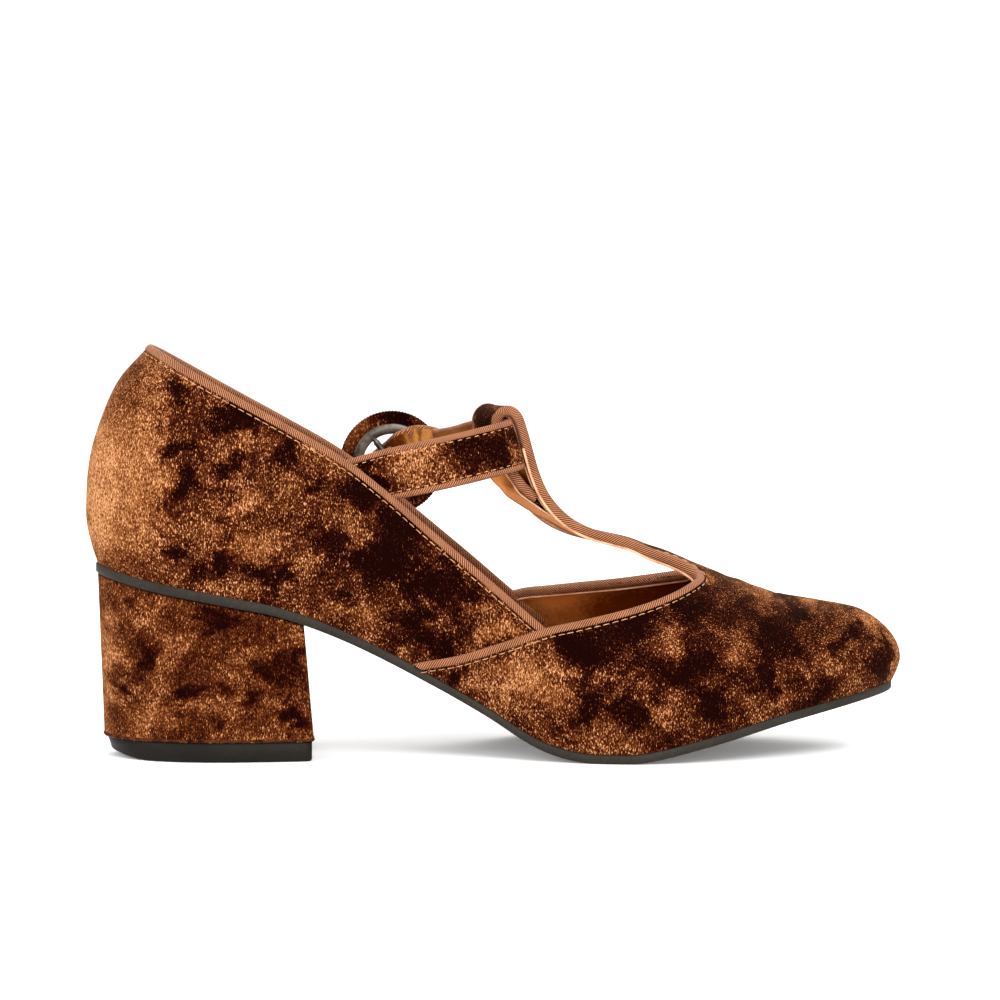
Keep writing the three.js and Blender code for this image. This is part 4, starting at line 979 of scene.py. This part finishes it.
along_pin = from_buckle(0, 1, 0) - from_buckle(0, 0, 0)
near_up = np.array([-0.2, 0.12, 0.97])
front_up = np.array([-0.29, 0, 0.957])
far_up = np.array([-0.29, -0.1, 0.95])
strap_rows = []
for forward, up in ((0.291, 0.653), (0.324, 0.672)):
    x, z = x_at(forward), up * back_top
    strap_rows.append(((x, -(width_at(-1.0, x, z, -wall) - 4 * gap - strap_thick / 2), z), near_up))
for forward, aside, up in (
        (0.3597, -0.455, 0.69), (0.4115, -0.487, 0.712), (0.457, -0.45, 0.731), (0.498, -0.34, 0.748),
        (0.5192, -0.205, 0.7565), (0.5096, -0.026, 0.7565), (0.4985, 0.15, 0.755), (0.4805, 0.35, 0.745),
        (0.4585, 0.53, 0.728)):
    across = near_up + (front_up - near_up) * np.clip((aside + 0.5) * 3, 0, 1)
    across = across + (far_up - across) * np.clip(aside * 2, 0, 1)
    strap_rows.append(((x_at(forward), aside * half_ball, up * back_top), across))
for tipward, pinward, outward in (
        (-0.838, -0.375, -0.288), (-0.588, -0.119, -0.256), (-0.413, -0.019, -0.25), (-0.288, 0.006, -0.044),
        (-0.163, 0.006, 0.175), (0, 0, 0.275), (0.156, 0, 0.2), (0.275, 0, 0.015), (0.4, 0, -0.16),
        (0.538, 0, -0.19), (0.75, 0, -0.175), (1, 0, -0.13), (1.313, 0, -0.08)):
    across = far_up + (along_pin - far_up) * np.clip((tipward + 0.875) / 0.345, 0, 1)
    strap_rows.append((from_buckle(tipward * ring_radius, pinward * ring_radius, outward * ring_radius),
                       across))
strap_places, strap_across = [row[0] for row in strap_rows], [row[1] for row in strap_rows]

def strap_surface(t, lateral, height):
    centre, along, wide, out = band_frame(strap_places, strap_across, t)
    half = strap_width / 2 * (1 - 0.22 * np.clip((t - 0.55) * 10, 0, 1))
    run = (1 - t) * (len(strap_rows) - 1) * 4.5
    half = half * np.sqrt(np.clip(1 - (1 - np.clip(run / 6, 0, 1)) ** 2, 0.02, 1))
    dome = 0.35 * (1 - lateral**2)
    rise = (strap_thick / 2 + dome + height)[..., None]
    return centre + wide * (half * lateral)[..., None] + out * rise, out

strap_t = np.linspace(0.02, 1, 420)
strap_grid, strap_lateral = np.meshgrid(strap_t, np.linspace(-0.92, 0.92, 15), indexing="ij")
strap_face, _ = strap_surface(strap_grid, strap_lateral, np.zeros(strap_grid.shape))
strap_velvet = velvet_material("strap velvet", 0.42)
finish(add_grid("bound_strap", strap_face, flip=True), strap_velvet, "strap_velvet", "ankle_strap")
strap_back, _ = strap_surface(strap_grid, strap_lateral, np.full(strap_grid.shape, -strap_thick - 0.75))
strap_lining = add_grid("strap_lining", strap_back)
finish(strap_lining, lining_cloth, "strap_velvet")
# Painted shade on the strap's lining.
paint_lining_light_and_shade(strap_lining, (60, 88, 10, 8, 0.2))
upper_edge, edge_out = strap_surface(strap_t, np.full(strap_t.shape, 1.0), np.zeros(strap_t.shape))
lower_edge, _ = strap_surface(strap_t, np.full(strap_t.shape, -1.0), np.zeros(strap_t.shape))
strap_line = np.vstack([upper_edge, lower_edge[::-1]])
strap_out = np.vstack([edge_out, edge_out[::-1]])
strap_rim = make_binding("strap_binding", strap_line, strap_out, -1, strap_thick, soften=3, outer_leg=1.4)
add_stitches("strap_stitches", strap_rim, 1.9, 0.15)

# The buckle tab: a narrow bound strap of the same velvet, sewn to the outer quarter. It goes round the
# pin and ends over it, slit in the middle for the prong.
pin_radius = 0.8
prong_radius = 0.6
frame_thick = 1.0
tab_width = 9.0
tab_thick = 1.2
wrap = pin_radius + 1.5 * gap + (tab_thick + bead) / 2

def on_quarter(tipward):
    x, _, z = from_buckle(tipward, 0, 0)
    return width_at(1.0, x, z, 0) + 3 * gap + (tab_thick + bead) / 2 - buckle_y

tab_route = [(share * ring_radius, on_quarter(share * ring_radius)) for share in (1.19, 0.875, 0.594)]
tab_route.append((tab_route[-1][0] / 2, (tab_route[-1][1] + frame_out - wrap) / 2))
tab_route += [(-wrap * math.cos(turn), frame_out + wrap * math.sin(turn))
              for turn in np.linspace(-math.pi / 2, math.pi / 2, 5)]
tab_route.append((0.1 * ring_radius, frame_out + wrap))
tab_places = [from_buckle(tipward, 0, outward) for tipward, outward in tab_route]
tab_across = [along_pin] * len(tab_places)
tab_t = np.linspace(0, 1, 120)
tab_velvet = velvet_material("tab velvet", 0.42)
for tab_name, side in (("tab_upper_half", 1), ("tab_lower_half", -1)):
    centre, _, wide, out = band_frame(tab_places, tab_across, tab_t)
    slit = (prong_radius + 2 * gap) * np.clip((tab_t - 0.42) * 20, 0.02, 1)
    section = []
    for share, height in ((0, -1), (0.9, -1), (1, -0.4), (1, 0.4), (0.9, 1), (0, 1)):
        lateral = slit + (tab_width / 2 - slit) * share
        section.append(centre + wide * (side * lateral)[:, None] + out * (height * tab_thick / 2))
    section = np.stack(section, 1)
    index, faces = tube_faces(*section.shape[:2])
    faces = faces[:, ::side].tolist() + [index[0].tolist()[::-side], index[-1].tolist()[::side]]
    finish(add_mesh(tab_name, section.reshape(-1, 3), faces), tab_velvet, "tab_velvet", "buckle_tab")
    edge = centre + wide * (side * (tab_width / 2 - 0.2)) + out * (tab_thick / 2)
    make_binding(tab_name + "_binding", edge, out, -side, tab_thick, step=0.5, soften=2, outer_leg=1.3)

# The covered ring: a padded ring wrapped in the velvet, which gathers into fine radial ribs. It is the
# part of the buckle that shows, with the metal frame behind it.
ring_band = 5.6
ring_thick = 3.0
ring_inside = ring_radius - ring_band
ring_low = frame_out + frame_thick / 2 + gap

def turned_ring(name, profile, turns, ripple=0.0, gathers=0):
    """A closed profile of radius and height, turned about the buckle's axis."""
    angle = np.linspace(0, math.tau, turns, endpoint=False)[:, None]
    profile = np.asarray(profile, float)
    middle = profile.mean(0)
    swell = 1 + ripple * np.sin(gathers * angle + 0.8 * np.sin(3 * angle))
    radius = middle[0] + (profile[None, :, 0] - middle[0]) * swell
    height = middle[1] + (profile[None, :, 1] - middle[1]) * swell
    points = from_buckle(radius * np.cos(angle), radius * np.sin(angle), height)
    count = len(profile)
    index = np.arange(turns * count).reshape(turns, count)
    up, around = np.roll(index, -1, axis=1), np.roll(index, -1, axis=0)
    faces = np.stack([index, up, np.roll(up, -1, axis=0), around], -1).reshape(-1, 4)
    return add_mesh(name, points.reshape(-1, 3), faces)

girth = np.linspace(0, math.tau, 26, endpoint=False)
across_ring, up_ring = (np.sign(part) * np.abs(part) ** 0.8 for part in (np.cos(girth), np.sin(girth)))
ring_profile = np.column_stack([ring_radius - ring_band / 2 * (1 - across_ring),
                                ring_low + ring_thick / 2 * (1 + up_ring)])
covered_ring = turned_ring("covered_ring", ring_profile, 576, 0.03, 96)
finish(covered_ring, velvet_material("ring velvet", 0.26, patch_depth=0.8, patch_scale=140.0,
                                     fibre_depth=1.8), "ring_velvet", "buckle_ring")

# The buckle's frame: a flat gunmetal ring seated behind the covered ring, with the pin across its middle.
# The tab is folded round the pin, and the strap passes over it.
frame_lip = 0.9

def metal_material(name):
    material, tree, shader = new_material(name, 0.38, metallic=0.9)
    wear = noise(tree, object_place(tree), 500.0, 4.0)
    shade(tree, shader, wear, [(0.3, (0.045, 0.034, 0.027)), (0.7, (0.15, 0.122, 0.1))])
    shade(tree, shader, wear, [(0.3, (0.3, 0.3, 0.3)), (0.7, (0.5, 0.5, 0.5))], "Roughness")
    bump_into(tree, shader, wear, 0.12, 0.0002)
    return material

gunmetal = metal_material("gunmetal")
lip_in, lip_out = ring_inside - frame_lip - 0.5, ring_inside + 2 * frame_lip
lip_low, lip_high = frame_out - frame_thick / 2, frame_out + frame_thick / 2
lip_profile = [(lip_in + 0.25, lip_low), (lip_out - 0.25, lip_low), (lip_out, lip_low + 0.25),
               (lip_out, lip_high - 0.1), (lip_out - 0.1, lip_high), (lip_in + 0.25, lip_high),
               (lip_in, lip_high - 0.25), (lip_in, lip_low + 0.25)]
finish(turned_ring("metal_frame", lip_profile, 144), gunmetal, "gunmetal", "buckle_frame")

def tube(name, places, radii):
    tangent = unit(np.gradient(places, axis=0))
    first = unit(along_pin - tangent * (tangent @ along_pin)[:, None] + 1e-6)
    if np.abs(tangent @ along_pin).max() > 0.9:
        first = unit(np.cross(tangent, [0.0, 1.0, 0.0]))
    second = np.cross(tangent, first)
    turn = np.linspace(0, math.tau, 16, endpoint=False)[None, :, None]
    spokes = first[:, None] * np.cos(turn) + second[:, None] * np.sin(turn)
    return closed_stack(name, places[:, None] + spokes * radii[:, None, None])

pin_line = np.linspace(-lip_in - 0.6, lip_in + 0.6, 40)
pin = tube("pin", from_buckle(0, pin_line, frame_out),
           (pin_radius + 0.2) * (1 - 0.25 * (np.abs(pin_line) > lip_in - 0.4)))
finish(pin, gunmetal, "gunmetal")

# The prong: a bent gunmetal wire. Its eye turns on the pin, it comes up through the strap's eyelet, and
# its rounded tip rests on the frame.
prong_metal = metal_material("gunmetal prong")
eye_radius = pin_radius + gap + prong_radius
rest_height = lip_high + gap + prong_radius
eye_turn = np.linspace(0, math.tau, 48)
eye = tube("prong_eye", from_buckle(eye_radius * np.cos(eye_turn), 0,
                                    frame_out + eye_radius * np.sin(eye_turn)), np.full(48, prong_radius))
finish(eye, prong_metal, "gunmetal_prong", "buckle_prong")
prong_route = [(-eye_radius, 0, frame_out), (-0.27 * ring_radius, 0, rest_height - prong_radius / 2),
               (-0.4 * ring_radius, 0, rest_height), (gap - ring_inside, 0, rest_height)]
prong_t = np.linspace(0, 1, 60)
prong_tip = prong_radius * np.sqrt(np.clip(1 - ((prong_t - 0.95) / 0.05).clip(0, 1) ** 2, 0.03, 1))
arm = tube("prong_arm", from_buckle(*spline(prong_route, prong_t).T), prong_tip)
finish(arm, prong_metal, "gunmetal_prong")

# The stage: a floor of white paper, white light from all round with four soft lamps, and the camera
# that stands where the photo was taken from.
floor_mesh = bpy.data.meshes.new("floor")
floor_mesh.from_pydata([(-6, -6, 0), (6, -6, 0), (6, 6, 0), (-6, 6, 0)], [], [(0, 1, 2, 3)])
floor = bpy.data.objects.new("floor", floor_mesh)
bpy.context.scene.collection.objects.link(floor)
paper, _, paper_shader = new_material("white paper", 0.9)
paper_shader.inputs["Base Color"].default_value = (0.9, 0.9, 0.9, 1)
paper_shader.inputs["Emission Color"].default_value = (1, 0.985, 0.965, 1)
paper_shader.inputs["Emission Strength"].default_value = 0.13
floor.data.materials.append(paper)

world = bpy.data.worlds.new("studio")
world.use_nodes = True
world.node_tree.nodes["Background"].inputs["Color"].default_value = (1, 1, 1, 1)
world.node_tree.nodes["Background"].inputs["Strength"].default_value = 1.02
bpy.context.scene.world = world

def soft_light(name, place, aim, size, power):
    lamp = bpy.data.lights.new(name, "AREA")
    lamp.size = size
    lamp.energy = power
    holder = bpy.data.objects.new(name, lamp)
    bpy.context.scene.collection.objects.link(holder)
    holder.location = place
    turn = np.array(aim, float) - np.array(place, float)
    holder.rotation_euler = (math.acos(-turn[2] / np.linalg.norm(turn)), 0,
                             math.atan2(turn[1], turn[0]) - math.pi / 2)

soft_light("key", (0.5, -1.2, 1.3), (0.08, 0, 0.05), 0.9, 22)
soft_light("fill", (-1.2, -0.8, 0.8), (0.05, 0, 0.05), 0.9, 10)
soft_light("back", (0.1, 1.2, 1.0), (0.08, 0, 0.05), 0.9, 12)
soft_light("front", (0.3, -1.6, 0.45), (0.08, 0, 0.05), 0.5, 6)

camera = bpy.data.objects.new("camera", bpy.data.cameras.new("camera"))
camera.data.lens = 156.3
camera.data.sensor_width = 36
camera.location = (-0.0258, -1.3026, 0.175)
looks_down, turned = 4.338, -5
camera.rotation_euler = (math.radians(90 - looks_down), 0, math.radians(turned))
bpy.context.scene.collection.objects.link(camera)
bpy.context.scene.camera = camera
bpy.context.scene.view_settings.view_transform = "Standard"
